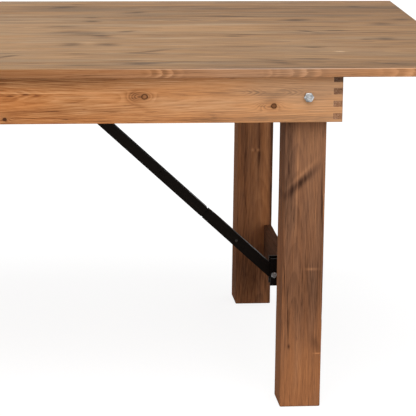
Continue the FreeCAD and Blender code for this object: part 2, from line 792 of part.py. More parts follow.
def foot_spot(side, y, x="0", z="0", axis=(0, 0, 1), degrees=0):
    """A placement about a brace's foot pivot."""
    return at_side(
        side,
        spot(value(f"{FOOT_X} + {x}"), value(f"Sizes.brace_offset + {y}"),
             value(f"{FOOT_Z} + {z}"), axis, degrees),
    )


for side in SIDES:
    nodes += [make_leg(side, row) for row in ("front", "rear")]
    nodes += [make_stretcher(side), make_clevis(side)]
    screw_spots = [
        foot_spot(side, y, CLEVIS_BACK, z, (0, 1, 0), 90) for y, z in clevis_screws()
    ]
    nodes.append(group(f"{side}_clevis_screws", plate_screw, screw_spots))
    nodes.append(group(f"{side}_clevis_bolt", clevis_bolt, [foot_spot(side, f"-{CLEVIS_HALF}")]))
    nodes.append(group(f"{side}_clevis_nut", clevis_nut, [foot_spot(side, CLEVIS_HALF)]))
    bush_faces = ("-Sizes.clevis_gap / 2", f"Sizes.clevis_gap / 2 - {BUSH_LENGTH}")
    nodes.append(
        group(f"{side}_clevis_bushes", clevis_bush, [foot_spot(side, y) for y in bush_faces])
    )


# Upper brace link about its anchor pin: x down the brace, z to the side the elbow breaks to.

BAR_MIDDLE = "(Sizes.bar_gap / 2 + Sizes.bar_thickness / 2)"
STOP_MIDDLE = f"({BAR_REACH} - Sizes.stop_end_gap - Sizes.stop_length / 2)"


def make_bar(side, row):
    """One flat bar, round at the anchor, with a notch that takes the foot bolt when folded."""
    bar = new_body(f"{side}_{facing(side, row)}_brace_bar")
    lift = f"{BAR_MIDDLE}" if row == "front" else f"-{BAR_MIDDLE}"
    blank = box_outline(BAR_REACH, size("bar_depth"), f"{BAR_REACH} / 2")
    pad(bar, "XZ_Plane", blank, size("bar_thickness"), lift)
    doc.recompute()
    box = bar.Shape.BoundBox
    ease(
        bar, "Fillet", size("bar_end_radius"),
        lambda edge: runs_along(edge, "y") and share_along(edge, "x", box) > 1 - END_SHARE,
    )
    pad_round(bar, "XZ_Plane", [("0", "0")], size("bar_depth"), size("bar_thickness"), lift)
    cut = "2 * Sizes.bar_thickness"
    bore(bar, "XZ_Plane", [("0", "0")], PIN_BORE, cut, lift)
    bore(bar, "XZ_Plane", [(UPPER_LENGTH, "0")], size("brace_pin_diameter"), cut, lift)
    notch = "(Sizes.bush_diameter + 2 * Sizes.notch_side_gap)"
    mouth = box_outline(notch, size("bar_depth"), FOLDED_SPAN, "-Sizes.bar_depth / 2")
    pocket(bar, "XZ_Plane", mouth, cut, lift)
    bore(bar, "XZ_Plane", [(FOLDED_SPAN, "0")], notch, cut, lift)
    place(bar, side, ANCHOR_X, size("brace_offset"), ANCHOR_Z, BRACE_TURN)
    return bar


def make_stop(side):
    """The plate across the two bars, past the elbow, that the lower link comes up against."""
    stop = new_body(f"{side}_brace_stop")
    plate = box_outline(
        size("stop_length"), size("stop_thickness"), STOP_MIDDLE,
        "Sizes.bar_depth / 2 - Sizes.stop_thickness / 2",
    )
    pad(stop, "XZ_Plane", plate, size("bar_gap"))
    place(stop, side, ANCHOR_X, size("brace_offset"), ANCHOR_Z, BRACE_TURN)
    return stop


def make_elbow_stud(label):
    """A headed stud that fills one bar's elbow hole, its head in front of y 0."""
    stud = new_body(label)
    pad_round(stud, "XZ_Plane", [("0", "0")], size("brace_pin_diameter"), size("bar_thickness"),
              lift="-Sizes.bar_thickness / 2")
    pad_round(stud, "XZ_Plane", [("0", "0")], size("pin_head_diameter"), size("pin_head_height"),
              lift="Sizes.pin_head_height / 2")
    doc.recompute()
    box = stud.Shape.BoundBox
    ease(
        stud, "Fillet", "Sizes.pin_head_height / 2",
        lambda edge: edge.Curve.TypeId == "Part::GeomCircle" and share_along(edge, "y", box) < END_SHARE,
    )
    return stud


elbow_stud = make_elbow_stud("elbow_stud_pattern")
slope = value(BRACE_SLOPE)
for side in SIDES:
    nodes += [make_bar(side, row) for row in ("front", "rear")]
    nodes.append(make_stop(side))
    bar_face = value("Sizes.bar_gap / 2 + Sizes.bar_thickness")
    anchor = spot(value(ANCHOR_X), value(size("brace_offset")), value(ANCHOR_Z), (0, 1, 0), slope)
    stud_spots = [
        at_side(side, anchor.multiply(spot(value(UPPER_LENGTH), sign * bar_face, 0, (1, 0, 0), turn)))
        for sign, turn in ((-1, 0), (1, 180))
    ]
    nodes.append(group(f"{side}_elbow_studs", elbow_stud, stud_spots))


# Lower brace link about the foot bolt, in the same directions as the upper one.


def make_tongue(side):
    """The square tube that lies between the bars, from the foot bolt to the elbow."""
    tongue = new_body(f"{side}_brace_tongue")
    length = f"({LOWER_LENGTH} + Sizes.tongue_end + Sizes.tongue_foot_end)"
    middle = f"(Sizes.tongue_foot_end - Sizes.tongue_end - {LOWER_LENGTH}) / 2"
    sketch = new_sketch(tongue, "YZ_Plane", middle)
    draw_outline(sketch, box_outline(size("tongue_width"), size("tongue_depth")))
    draw_outline(
        sketch, box_outline("Sizes.tongue_width - 2 * Sizes.tongue_wall",
                            "Sizes.tongue_depth - 2 * Sizes.tongue_wall"),
    )
    extrude(tongue, "Pad", sketch, length)
    across = "2 * Sizes.tongue_width"
    bore(tongue, "XZ_Plane", [("0", "0")], PIN_BORE, across)
    bore(tongue, "XZ_Plane", [(f"-{LOWER_LENGTH}", "0")], PIN_BORE, across)
    bore(tongue, "XZ_Plane", [("-Sizes.rivet_place", "0")], size("rivet_diameter"), across)
    place(tongue, side, FOOT_X, size("brace_offset"), FOOT_Z, BRACE_TURN)
    return tongue


def make_channel(side):
    """The folded channel over the foot of the tongue, ramped down at its upper end."""
    channel = new_body(f"{side}_foot_channel")
    nose = "(Sizes.channel_rise + Sizes.channel_drop)"
    nose_z = "((Sizes.channel_rise - Sizes.channel_drop) / 2)"
    top, low = size("channel_rise"), "-Sizes.channel_drop"
    side_view = [
        ("0", low), ("0", top), ("-Sizes.channel_length", top),
        (f"-{CHANNEL_END}", f"{top} - Sizes.ramp_drop"), (f"-{CHANNEL_END}", low),
    ]
    pad(channel, "XZ_Plane", side_view, size("channel_width"))
    pad_round(channel, "XZ_Plane", [("0", nose_z)], nose, size("channel_width"))
    wall = size("channel_wall")
    hollow = [
        (nose, f"2 * {low}"), (nose, f"{top} - {wall}"),
        ("-Sizes.channel_length", f"{top} - {wall}"),
        (f"-{CHANNEL_END}", f"{top} - Sizes.ramp_drop - {wall}"),
        (f"-{CHANNEL_END} - {nose}", f"{top} - Sizes.ramp_drop - {wall}"),
        (f"-{CHANNEL_END} - {nose}", f"2 * {low}"),
    ]
    pocket(channel, "XZ_Plane", hollow, f"Sizes.channel_width - 2 * {wall}")
    across = "2 * Sizes.channel_width"
    bore(channel, "XZ_Plane", [("0", "0")], PIN_BORE, across)
    bore(channel, "XZ_Plane", [("-Sizes.rivet_place", "0")], size("rivet_head_diameter"), across)
    place(channel, side, FOOT_X, size("brace_offset"), FOOT_Z, BRACE_TURN)
    return channel


def make_rivet(side):
    """The rivet that holds the channel to the tongue, flush so that the bars pass it."""
    rivet = new_body(f"{side}_foot_rivet")
    centre = [("-Sizes.rivet_place", "0")]
    pad_round(rivet, "XZ_Plane", centre, size("rivet_diameter"), size("channel_width"))
    for sign in ("", "-"):
        pad_round(
            rivet, "XZ_Plane", centre, size("rivet_head_diameter"), size("channel_wall"),
            lift=f"{sign}(Sizes.channel_width - Sizes.channel_wall) / 2",
        )
    place(rivet, side, FOOT_X, size("brace_offset"), FOOT_Z, BRACE_TURN)
    return rivet


for side in SIDES:
    nodes += [make_tongue(side), make_channel(side), make_rivet(side)]


# Check every object and write one file for each node.

doc.recompute()
for item in doc.Objects:
    if "Invalid" in item.State or "Error" in item.State:
        raise RuntimeError(f"{item.Label} failed: {item.State}")
for node in nodes:
    if node.Shape.isNull() or not node.Shape.isValid() or not node.Shape.Solids:
        raise RuntimeError(f"{node.Label} has no valid shape")

os.makedirs("parts", exist_ok=True)
for node in nodes:
    node.Shape.exportStep(f"parts/{node.Label}.step")
    print(f"{node.Label}: {len(node.Shape.Solids)} solids, {node.Shape.Volume:.0f} mm3")
for name, expression in (
    ("leg pivot", f"{LEG_X}"), ("leg pivot height", PIVOT_Z), ("anchor x", ANCHOR_X),
    ("anchor z", ANCHOR_Z), ("foot x", FOOT_X), ("upper link", UPPER_LENGTH),
    ("lower link", LOWER_LENGTH), ("folded span", FOLDED_SPAN), ("slope", BRACE_SLOPE),
):
    print(f"{name}: {value(expression):.4f}")
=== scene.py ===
"""The folding farm table's looks: stained pine, black brace steel, zinc bolts, light and camera.

Metres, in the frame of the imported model: +X along the table, +Y to the rear, +Z up, the origin on
the floor under the middle of the top. Turned pieces are given in millimetres.
"""

import json
import math
import random

import bmesh
import bpy
import numpy as np
from mathutils import Matrix, Vector


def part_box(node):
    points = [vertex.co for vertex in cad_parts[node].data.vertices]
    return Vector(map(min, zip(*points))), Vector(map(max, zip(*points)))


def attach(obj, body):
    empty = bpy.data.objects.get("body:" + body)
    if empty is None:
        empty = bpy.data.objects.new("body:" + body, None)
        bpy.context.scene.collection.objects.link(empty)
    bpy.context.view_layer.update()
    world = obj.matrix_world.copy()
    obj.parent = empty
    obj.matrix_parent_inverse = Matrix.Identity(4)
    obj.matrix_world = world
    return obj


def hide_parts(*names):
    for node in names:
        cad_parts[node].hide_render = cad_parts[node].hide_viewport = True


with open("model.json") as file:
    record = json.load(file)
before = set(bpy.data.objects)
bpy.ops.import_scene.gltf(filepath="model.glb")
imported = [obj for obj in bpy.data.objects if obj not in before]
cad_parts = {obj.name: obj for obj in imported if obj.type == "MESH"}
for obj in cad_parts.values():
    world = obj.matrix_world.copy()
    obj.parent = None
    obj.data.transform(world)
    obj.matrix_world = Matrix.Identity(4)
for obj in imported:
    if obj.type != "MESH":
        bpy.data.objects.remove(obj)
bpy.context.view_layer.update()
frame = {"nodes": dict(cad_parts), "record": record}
nodes = frame["nodes"]
body_of = {
    member: body
    for body, members in frame["record"]["behaviour"]["bodies"].items()
    for member in members
}

MM = 0.001
CREASE = math.radians(30)
ALONG, ACROSS, DEEP = range(3)

chance = random.Random(7)


# Shader arithmetic.


class Wave:
    """A value that varies over a surface: one socket of a material, with arithmetic on it."""

    def __init__(self, paint, socket):
        self.paint = paint
        self.socket = socket

    def math(self, operation, *values):
        """One Math node on values, of which this wave is usually one."""
        return self.paint.node("Math", {"operation": operation}, dict(enumerate(values)))

    def __add__(self, other):
        return self.math("ADD", self, other)

    __radd__ = __add__

    def __sub__(self, other):
        return self.math("SUBTRACT", self, other)

    def __rsub__(self, other):
        return self.math("SUBTRACT", other, self)

    def __mul__(self, other):
        return self.math("MULTIPLY", self, other)

    __rmul__ = __mul__

    def __truediv__(self, other):
        return self.math("DIVIDE", self, other)

    def __abs__(self):
        return self.math("ABSOLUTE", self)

    def root(self):
        return self.math("SQRT", self)

    def fraction(self):
        return self.math("FRACT", self)

    def largest(self, other):
        return self.math("MAXIMUM", self, other)

    def rise(self, low, high):
        """0 below low, 1 above high, and smooth between them; low may be the larger."""
        return self.paint.node(
            "MapRange",
            {"interpolation_type": "SMOOTHSTEP"},
            {"Value": self, "From Min": low, "From Max": high},
        )

    def bell(self):
        """1 at zero and fading to both sides, as exp(-self ** 2)."""
        return self.math("POWER", math.e, self * self * -1.0)


class Paint:
    """A material under construction."""

    def __init__(self, name, tree=None):
        if tree is None:
            self.material = bpy.data.materials.new(name)
            self.material.use_nodes = True
            tree = self.material.node_tree
        self.tree = tree
        self.tree.nodes.clear()

    def node(self, kind, settings=None, inputs=None, output=0):
        """Add a node, with its settings first and then its sockets' values or links."""
        node = self.tree.nodes.new(f"ShaderNode{kind}")
        for name, setting in (settings or {}).items():
            if name == "stops":
                while len(node.color_ramp.elements) < len(setting):
                    node.color_ramp.elements.new(0.5)
                for element, (place, colour) in zip(node.color_ramp.elements, setting):
                    element.position = place
                    element.color = rgb(*colour)
            else:
                setattr(node, name, setting)
        for name, value in (inputs or {}).items():
            if isinstance(value, Wave):
                self.tree.links.new(value.socket, node.inputs[name])
            else:
                node.inputs[name].default_value = value
        return Wave(self, node.outputs[output]) if len(node.outputs) else None

    def place(self):
        """The object's own coordinates x, y and z, as waves."""
        spot = self.node("TexCoord", output="Object")
        return [self.node("SeparateXYZ", None, {0: spot}, axis) for axis in "XYZ"]

    def noise(self, x, y, z, detail, roughness=0.5):
        """Smooth noise about zero, from about -0.5 to 0.5, over coordinates in its own cells."""
        spot = self.node("CombineXYZ", None, {0: x, 1: y, 2: z})
        inputs = {"Vector": spot, "Scale": 1.0, "Detail": detail, "Roughness": roughness}
        return self.node("TexNoise", None, inputs) - 0.5

    def speckle(self, spots, cells, detail):
        """Noise that is alike in all directions, by its cells per metre."""
        return self.noise(*(spot * cells for spot in spots), detail)

    def ramp(self, value, stops):
        """A colour from a value, by stops of place and linear colour."""
        return self.node("ValToRGB", {"stops": stops}, {0: value})

    def blend(self, factor, first, second):
        """Two colours mixed by a factor."""
        settings = {"data_type": "RGBA", "clamp_factor": True}
        return self.node("Mix", settings, {0: factor, 6: first, 7: second}, 2)

    def scale(self, colour, factor):
        """A colour times a number."""
        return self.node("VectorMath", {"operation": "SCALE"}, {0: colour, "Scale": factor})

    def tint(self, colour, factor, cool, warm):
        """A colour times another that runs from cool to warm."""
        cast = self.blend(factor, rgb(*cool), rgb(*warm))
        return self.node("VectorMath", {"operation": "MULTIPLY"}, {0: colour, 1: cast})

    def bump(self, height, distance, strength):
        """A surface direction that follows a height, which is 1 at the distance."""
        inputs = {"Height": height, "Distance": distance, "Strength": strength}
        return self.node("Bump", None, inputs)

    def surface(self, constants, **varying):
        """The surface shader: constants on its own sockets, and waves where it varies."""
        inputs = dict(constants)
        inputs.update({name.replace("_", " "): wave for name, wave in varying.items()})
        shader = self.node("BsdfPrincipled", None, inputs)
        self.node("OutputMaterial", None, {"Surface": shader})


def rgb(red, green, blue, share=1.0):
    """A linear colour, darkened to a share, as a socket wants it."""
    return (red * share, green * share, blue * share, 1.0)


# Wood. A piece's own directions are along the grain, across its face and deep into it, measured
# from its middle. A kind of wood has stops, its colours by tone from dark to light, and the top's
# boards have others on their sides, below the worn face, whose greyer colours are weathering and a
# painted sheen. Late, streak, fibre, cloud, fleck, hair and wear say how strongly the rings,
# streaks, fibres, patches, flecks, hairlines and rubbed arrises act on the tone. Cells are counts
# per metre, along and across. Two more change tone and warmth by the metre along the piece; the
# change of tone is painted shading, which darkens the top towards its right end.

TOP_TONES = {
    # The face's stops are greyer than the sides' by weathering and a painted sheen.
    "stops": [
        (0.0, (0.105, 0.062, 0.036)), (0.3, (0.255, 0.150, 0.078)), (0.5, (0.368, 0.220, 0.113)),
        (0.72, (0.475, 0.300, 0.164)), (1.0, (0.62, 0.435, 0.278)),
    ],
    "sides": [
        (0.0, (0.100, 0.037, 0.017)), (0.28, (0.29, 0.122, 0.050)), (0.5, (0.430, 0.200, 0.090)),
        (0.72, (0.53, 0.270, 0.130)), (1.0, (0.70, 0.41, 0.23)),
    ],
    "late": 0.22, "streak": 0.74, "fibre": 0.5, "cloud": 0.36, "fleck": 0.25, "wear": -0.12,
    "streak_cells": (4.2, 78.0), "fibre_cells": (9.0, 420.0), "gloss": 0.05, "rough": 0.6,
    # The tone change along the top is painted shading, darker towards its right end.
    "fade": 0.09, "painted_falloff": -0.15, "hair": 0.16,
}
APRON_TONES = {
    "stops": [
        (0.0, (0.095, 0.034, 0.014)), (0.28, (0.33, 0.130, 0.046)), (0.5, (0.500, 0.225, 0.083)),
        (0.72, (0.61, 0.305, 0.130)), (1.0, (0.74, 0.43, 0.22)),
    ],
    "late": 0.24, "streak": 0.5, "fibre": 1.1, "cloud": 0.36, "fleck": 0.4, "wear": 0.04,
    "streak_cells": (7.0, 130.0), "fibre_cells": (18.0, 380.0), "gloss": 0.08, "rough": 0.58,
    "fade": 0.0, "painted_falloff": 0.0, "hair": 0.16,
}
LEG_TONES = {
    "stops": [
        (0.0, (0.045, 0.019, 0.011)), (0.3, (0.130, 0.058, 0.030)), (0.5, (0.222, 0.098, 0.049)),
        (0.72, (0.325, 0.142, 0.064)), (1.0, (0.48, 0.22, 0.10)),
    ],
    "late": 0.10, "streak": 0.27, "fibre": 0.56, "cloud": 0.5, "fleck": 0.25, "wear": 0.08,
    "streak_cells": (9.0, 190.0), "fibre_cells": (24.0, 420.0), "gloss": 0.02, "rough": 0.78,
    "fade": -0.55, "painted_falloff": 0.0, "hair": 0.12,
}
# Painted light on the wood: the pale colour of a painted sheen towards a piece's ends, and a
# painted highlight on an arris.
PAINTED_SHEEN = (0.62, 0.365, 0.18)
PAINTED_ARRIS_HIGHLIGHT = (0.84, 0.56, 0.40)
NO_CAST = (1.0, 1.0, 1.0)
COOL_CAST = (0.93, 1.0, 1.1)
WARM_CAST = (1.07, 0.99, 0.88)
# The tint of that painted sheen at the ends.
PAINTED_SHEEN_CAST = (1.0, 1.0, 1.09)
END_CAST = (0.95, 1.14, 1.76)


class Wood(Paint):
    """Stained softwood, sawn from a log whose pith runs beside or inside the piece.

    The growth rings are circles about the pith, in the plane of across and deep, and the log's
    taper opens them into long arches on a sawn face. Round a knot the grain parts: across is
    squeezed towards the knot's middle by a bell, and a second bell, a little before it, lifts the
    rings' radius, which draws closed ovals round it. A ring's late wood rises slowly and ends
    sharply.

    log is the pith's place across and deep, the rings' spacing and the log's taper. seed picks the
    piece's own places in the noise, and lift makes the whole piece lighter. The last two are the
    arguments of fade, which paints a sheen and a highlight, and of ends, which can paint a shadow.
    """

    def __init__(
        self, name, node, axes, tones, log, seed,
        knots=(), marks=(), vees=(), swirls=(), lift=0.0, painted_sheen=(), ends=(0.46, 0.0),
    ):
        super().__init__(name)
        self.tones = tones
        self.chance = random.Random(seed)
        low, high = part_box(node)
        spots = self.place()
        ways = ["xyz".index(axis) for axis in axes]
        self.along, self.across, self.deep = (spots[i] - (low[i] + high[i]) / 2 for i in ways)
        self.half = [(high[i] - low[i]) / 2 for i in ways]
        self.bend(knots)
        late = self.rings(*log)
        # The tone change along the piece is painted shading; only the top has it, darker towards
        # its right end.
        tone = self.grain(late) + self.along * tones["painted_falloff"] + lift
        for mark in marks:
            tone = self.mark(tone, *mark)
        for vee in vees:
            tone = self.vee(tone, self.across, *vee)
        colour = self.colour(tone, swirls, painted_sheen)
        for knot in knots:
            colour = self.knot(colour, *knot)
        colour = self.ends(colour, *ends)
        self.polish(colour, late)

    def own(self):
        """A place of this piece's own in the noise."""
        return self.chance.uniform(-50, 50)

    def drawn_out(self, long_cells, cross_cells, detail, roughness=0.5):
        """Noise drawn out along the grain, by its cells per metre along and across."""
        return self.noise(
            self.along * long_cells + self.own(), self.flow * cross_cells,
            self.deep * cross_cells, detail, roughness,
        )

    def side(self, place, way, start, full):
        """0 inside and 1 at a side, rising between two depths below it in millimetres."""
        return place.rise(self.half[way] - start * MM, self.half[way] - full * MM)

    def bend(self, knots):
        """Lead the grain round the knots, and let it sway by up to 6 mm."""
        sway = self.noise(self.along * 1.7 + self.own(), self.across * 5.0, self.deep * 5.0, 1.0)
        flow = self.across + sway * (12 * MM)
        swell, near = 0.0, 0.0
        for along, across, size, _ in knots:
            reach = size * 2.6
            away, beside = (self.along - along) * 0.55, (self.across - across) * 1.3
            pull = ((away * away + beside * beside).root() / reach).bell()
            flow = flow - (self.across - across) * pull * 0.5
            before = away + size * 0.9
            oval = ((before * before + beside * beside).root() / reach).bell()
            swell = oval * (size * 2.4) + swell
            near = oval + near
        self.flow, self.swell, self.near = flow, swell, near

    def rings(self, pith_across, pith_deep, spacing, taper):
        """The late wood of the rings: 0 in early wood, and about 1 where a ring ends.

        The pith drifts by up to 11 mm, the radius wavers by up to 2 mm, and uneven years shift the
        rings by up to 0.9 of their spacing.
        """
        drift = self.noise(self.along * 1.2 + self.own(), 0.0, 0.0, 2.0) * (22 * MM)
        waver = self.drawn_out(5.0, 22.0, 3.0)
        beside = self.flow - pith_across
        under = self.deep - pith_deep + drift
        radius = (beside * beside + under * under).root() + self.along * taper
        radius = radius + waver * (3.5 * MM) + self.swell
        uneven = self.noise(radius * 60.0 + self.own(), self.along * 0.5, 0.0, 1.0)
        step = (radius / spacing + uneven * 1.8).fraction()
        late = step.rise(0.15, 0.86) * step.rise(1.0, 0.9)
        strength = self.noise(radius * 42.0 + self.own(), self.along * 1.5, 0.0, 1.0) * 1.5 + 0.65
        return late * (strength + self.near * 1.3)

    def grain(self, late):
        """How light the wood is, about a half, by its rings, fibres, patches and worn arrises."""
        tones = self.tones
        self.fibre = fibre = self.drawn_out(*tones["fibre_cells"], 3.0, 0.7)
        self.streak = streak = self.drawn_out(*tones["streak_cells"], 5.0, 0.72)
        self.cloud = cloud = self.drawn_out(2.2, 9.0, 3.0, 0.6)
        dash = self.drawn_out(24.0, 260.0, 2.0, 0.6)
        hair = self.drawn_out(4.0, 520.0, 3.0, 0.7)
        hair = hair.rise(-0.06, -0.16) - hair.rise(0.04, 0.15) * 1.4
        self.split = dash.rise(-0.14, 0.12)
        arris = self.side(abs(self.across), ACROSS, 3.0, 0.4)
        arris = arris * self.side(abs(self.deep), DEEP, 3.0, 0.4)
        tone = 0.5 + streak * tones["streak"] + fibre * tones["fibre"] + cloud * tones["cloud"]
        tone = tone + arris * (cloud * 0.8 + tones["wear"]) + hair * tones["hair"]
        return tone - late * tones["late"] - dash.rise(0.12, 0.3) * tones["fleck"]

    def mark(self, tone, along, across, length, width, slant, strength):
        """Darken, or lighten if strength is negative, the streaks in a soft oval that leans."""
        away = (self.along - along) / length
        beside = (self.flow - across - (self.along - along) * slant) / width
        worn = self.split * 0.4 + 0.65
        return tone - (away * away + beside * beside).root().bell() * worn * strength

    def vee(self, tone, height, along, across, length, width, pitch, strength):
        """Nested arrowheads along the grain, the cut tips of arches, in a soft oval.

        Their middle line lies where height is across, and pitch is the distance between them.
        """
        away, beside = self.along - along, abs(height - across)
        shape = ((away / length) * (away / length) + (beside / width) * (beside / width)).root()
        waver = self.streak * 0.7 + self.fibre * 0.5 + self.cloud * 1.5
        tip = ((away + beside * 2.4) / pitch + waver).fraction()
        return tone - shape.bell() * (tip.rise(0.2, 0.8) * tip.rise(1.0, 0.85) - 0.3) * strength

    def fade(self, colour, start, stop, share, cast):
        """Paint a sheen that pales a colour towards the piece's ends, half as much at the left one.

        It sets in between start and stop, which are places along the grain, goes by a share to the
        sheen's pale colour, and paints a highlight on the lower arris of the outer face. Cast tints
        what lies in between.
        """
        reach = self.along.rise(start, stop) + self.along.rise(-start, -stop) * 0.5
        lower = -self.half[ACROSS]
        arris = self.across.rise(lower + 2.4 * MM, lower + 0.7 * MM)
        arris = arris * self.side(self.deep, DEEP, 3.0, 1.2)
        colour = self.blend(reach * share, colour, rgb(*PAINTED_SHEEN))
        colour = self.tint(colour, reach, cast, PAINTED_SHEEN_CAST)
        return self.blend(arris * reach * 0.85, colour, rgb(*PAINTED_ARRIS_HIGHLIGHT))

    def colour(self, tone, swirls, painted_sheen):
        """The tone's colour: a board's worn top face is greyer than its sides.

        The grey is weathering and a painted sheen.
        """
        colour = self.ramp(tone, self.tones["stops"])
        if "sides" in self.tones:
            for swirl in swirls:
                tone = self.vee(tone, self.deep * self.deep * 45.0, *swirl)
            sides = self.ramp(tone, self.tones["sides"])
            if painted_sheen:
                sides = self.fade(sides, *painted_sheen)
            colour = self.blend(self.side(self.deep, DEEP, 1.4, 0.3), sides, colour)
        elif painted_sheen:
            colour = self.fade(colour, *painted_sheen)
        hue = self.drawn_out(3.0, 26.0, 3.0, 0.6) + self.along * self.tones["fade"]
        return self.tint(colour, hue.rise(-0.22, 0.22), COOL_CAST, WARM_CAST)

    def knot(self, colour, along, across, size, open_ring):
        """A knot: a dark rim round fine rings of its own, in a warm halo.

        Its middle is solid dark where open_ring is 0, and half shows the wood where it is 1.
        """
        away, beside = self.along - along, self.across - across
        uneven = self.noise(away / size * 1.3 + self.own(), beside / size * 1.3, 0.0, 2.0)
        radius = (away * away * 0.8 + beside * beside * 1.1).root() * (1.0 + uneven * 0.45)
        share = radius / size
        halo = (share * 0.42).bell() * 0.5
        core = share.rise(1.15, 0.85)
        rings = (share * 3.2).fraction().rise(0.2, 0.9)
        rim = ((share - 1.0) * 3.8).bell()
        dark, warm = self.tones["stops"][0][1], self.tones["stops"][1][1]
        colour = self.blend(halo, colour, rgb(*warm))
        shown = core * (1.0 - open_ring * 0.5)
        colour = self.blend(shown, colour, rgb(*warm, 0.9))
        colour = self.blend(shown * rings * 0.5, colour, rgb(*dark))
        solid = core * (1.0 - open_ring)
        colour = self.blend(solid, colour, rgb(*dark, 0.8))
        return self.blend(rim * 0.9, colour, rgb(*dark, 0.7))

    def ends(self, colour, dark, painted_overhang_shadow):
        """Darken the end grain, which drinks more stain, and paint a shadow towards its upper side.

        dark is the share of light that it loses, and the other the further share of painted shadow
        at the top, under the overhang of the table top.
        """
        end = self.side(abs(self.along), ALONG, 0.9, 0.3)
        pores = self.noise(self.across * 900.0, self.deep * 900.0, 0.0, 2.0)
        colour = self.tint(colour, end, NO_CAST, END_CAST)
        # Painted shadow under the overhang of the table top.
        if painted_overhang_shadow:
            dark = self.across.rise(-12 * MM, 45 * MM) * painted_overhang_shadow + dark
        return self.scale(colour, 1.0 - end * (pores * 0.3 + dark))

    def polish(self, colour, late):
        """A thin satin finish that sinks between the fibres."""
        rough = self.tones["rough"] - late * 0.07 + self.fibre * 0.22
        height = late * 0.35 + self.fibre * 0.8 + self.streak * 0.25
        self.surface(
            {"Specular IOR Level": self.tones["gloss"]},
            Base_Color=colour,
            Roughness=rough,
            Normal=self.bump(height, 0.22 * MM, 0.6),
        )


# Of the braces' slope, 42.4 degrees.
BRACE_COSINE, BRACE_SINE = 0.739, 0.674


def black_steel():
    """Near-black satin paint, rubbed brown along the braces, with grit and fine dust specks."""
    paint = Paint("brace_paint")
    x, y, z = spots = paint.place()
    speck = paint.speckle(spots, 900.0, 2.0)
    cloud = paint.speckle(spots, 30.0, 3.0)
    along = abs(x) * BRACE_COSINE - z * BRACE_SINE
    beside = abs(x) * BRACE_SINE + z * BRACE_COSINE
    rub = paint.noise(along * 14.0, beside * 420.0, y * 200.0, 3.0, 0.65)
    grit = paint.speckle(spots, 330.0, 2.0)
    colour = paint.blend(cloud + 0.5, rgb(0.0016, 0.0010, 0.0009), rgb(0.0040, 0.0026, 0.0022))
    colour = paint.blend(rub.rise(0.02, 0.28) * 0.7, colour, rgb(0.016, 0.0098, 0.0070))
    colour = paint.blend(grit.rise(0.06, 0.3) * 0.6, colour, rgb(0.020, 0.0135, 0.0110))
    colour = paint.blend(speck.rise(0.16, 0.3) * 0.3, colour, rgb(0.035, 0.028, 0.022))
    paint.surface(
        # The warm specular tint is a painted reflection: it gives the paint's sheen the brown of
        # the wood around it.
        {"Specular IOR Level": 0.08, "Specular Tint": rgb(1.0, 0.84, 0.72)},
        Base_Color=colour,
        Roughness=0.42 + speck * 0.2 + cloud * 0.12,
        Normal=paint.bump(speck, 0.06 * MM, 0.4),
    )
    return paint


def rivet_highlight_paint():
    """The rivet's paint: near black lifted to a dull brown, a painted highlight."""
    paint = Paint("rivet_painted_highlight")
    painted_reflection_patch = paint.speckle(paint.place(), 400.0, 2.0)
    colour = paint.blend(painted_reflection_patch + 0.5, rgb(0.013, 0.0095, 0.0070), rgb(0.036, 0.027, 0.020))
    paint.surface(
        {"Specular IOR Level": 0.3}, Base_Color=colour, Roughness=0.35 + painted_reflection_patch * 0.2,
        Normal=paint.bump(painted_reflection_patch, 0.05 * MM, 0.4),
    )
    return paint


def zinc_plate():
    """Bright zinc on steel, with a fine mottle and scratches.

    Large patches of dark and light grey in its colour are painted reflections.
    """
    paint = Paint("zinc_plate")
    x, y, z = spots = paint.place()
    painted_reflection_patch = paint.noise(x * 80.0, y * 80.0, z * 80.0 + 3.1, 3.0, 0.6)
    mottle = paint.speckle(spots, 320.0, 3.0)
    scratch = paint.noise(x * 1800.0, y * 150.0, z * 150.0, 2.0)
    # The large patches set the colour from dark to bright grey: painted reflections on the heads.
    tone = painted_reflection_patch * 2.1 + mottle * 0.35 + 0.46
    colour = paint.ramp(
        tone,
        [(0.0, (0.11, 0.10, 0.09)), (0.4, (0.33, 0.33, 0.33)), (0.75, (0.64, 0.65, 0.66)),
         (1.0, (0.84, 0.84, 0.84))],
    )
    paint.surface(
        {"Metallic": 1.0},
        Base_Color=colour,
        Roughness=0.28 + mottle * 0.16 + scratch * 0.1,
        Normal=paint.bump(painted_reflection_patch + mottle * 0.4, 0.25 * MM, 0.5),
    )
    return paint


BLACK, RIVET_HIGHLIGHT, ZINC = black_steel(), rivet_highlight_paint(), zinc_plate()


# Shapes.


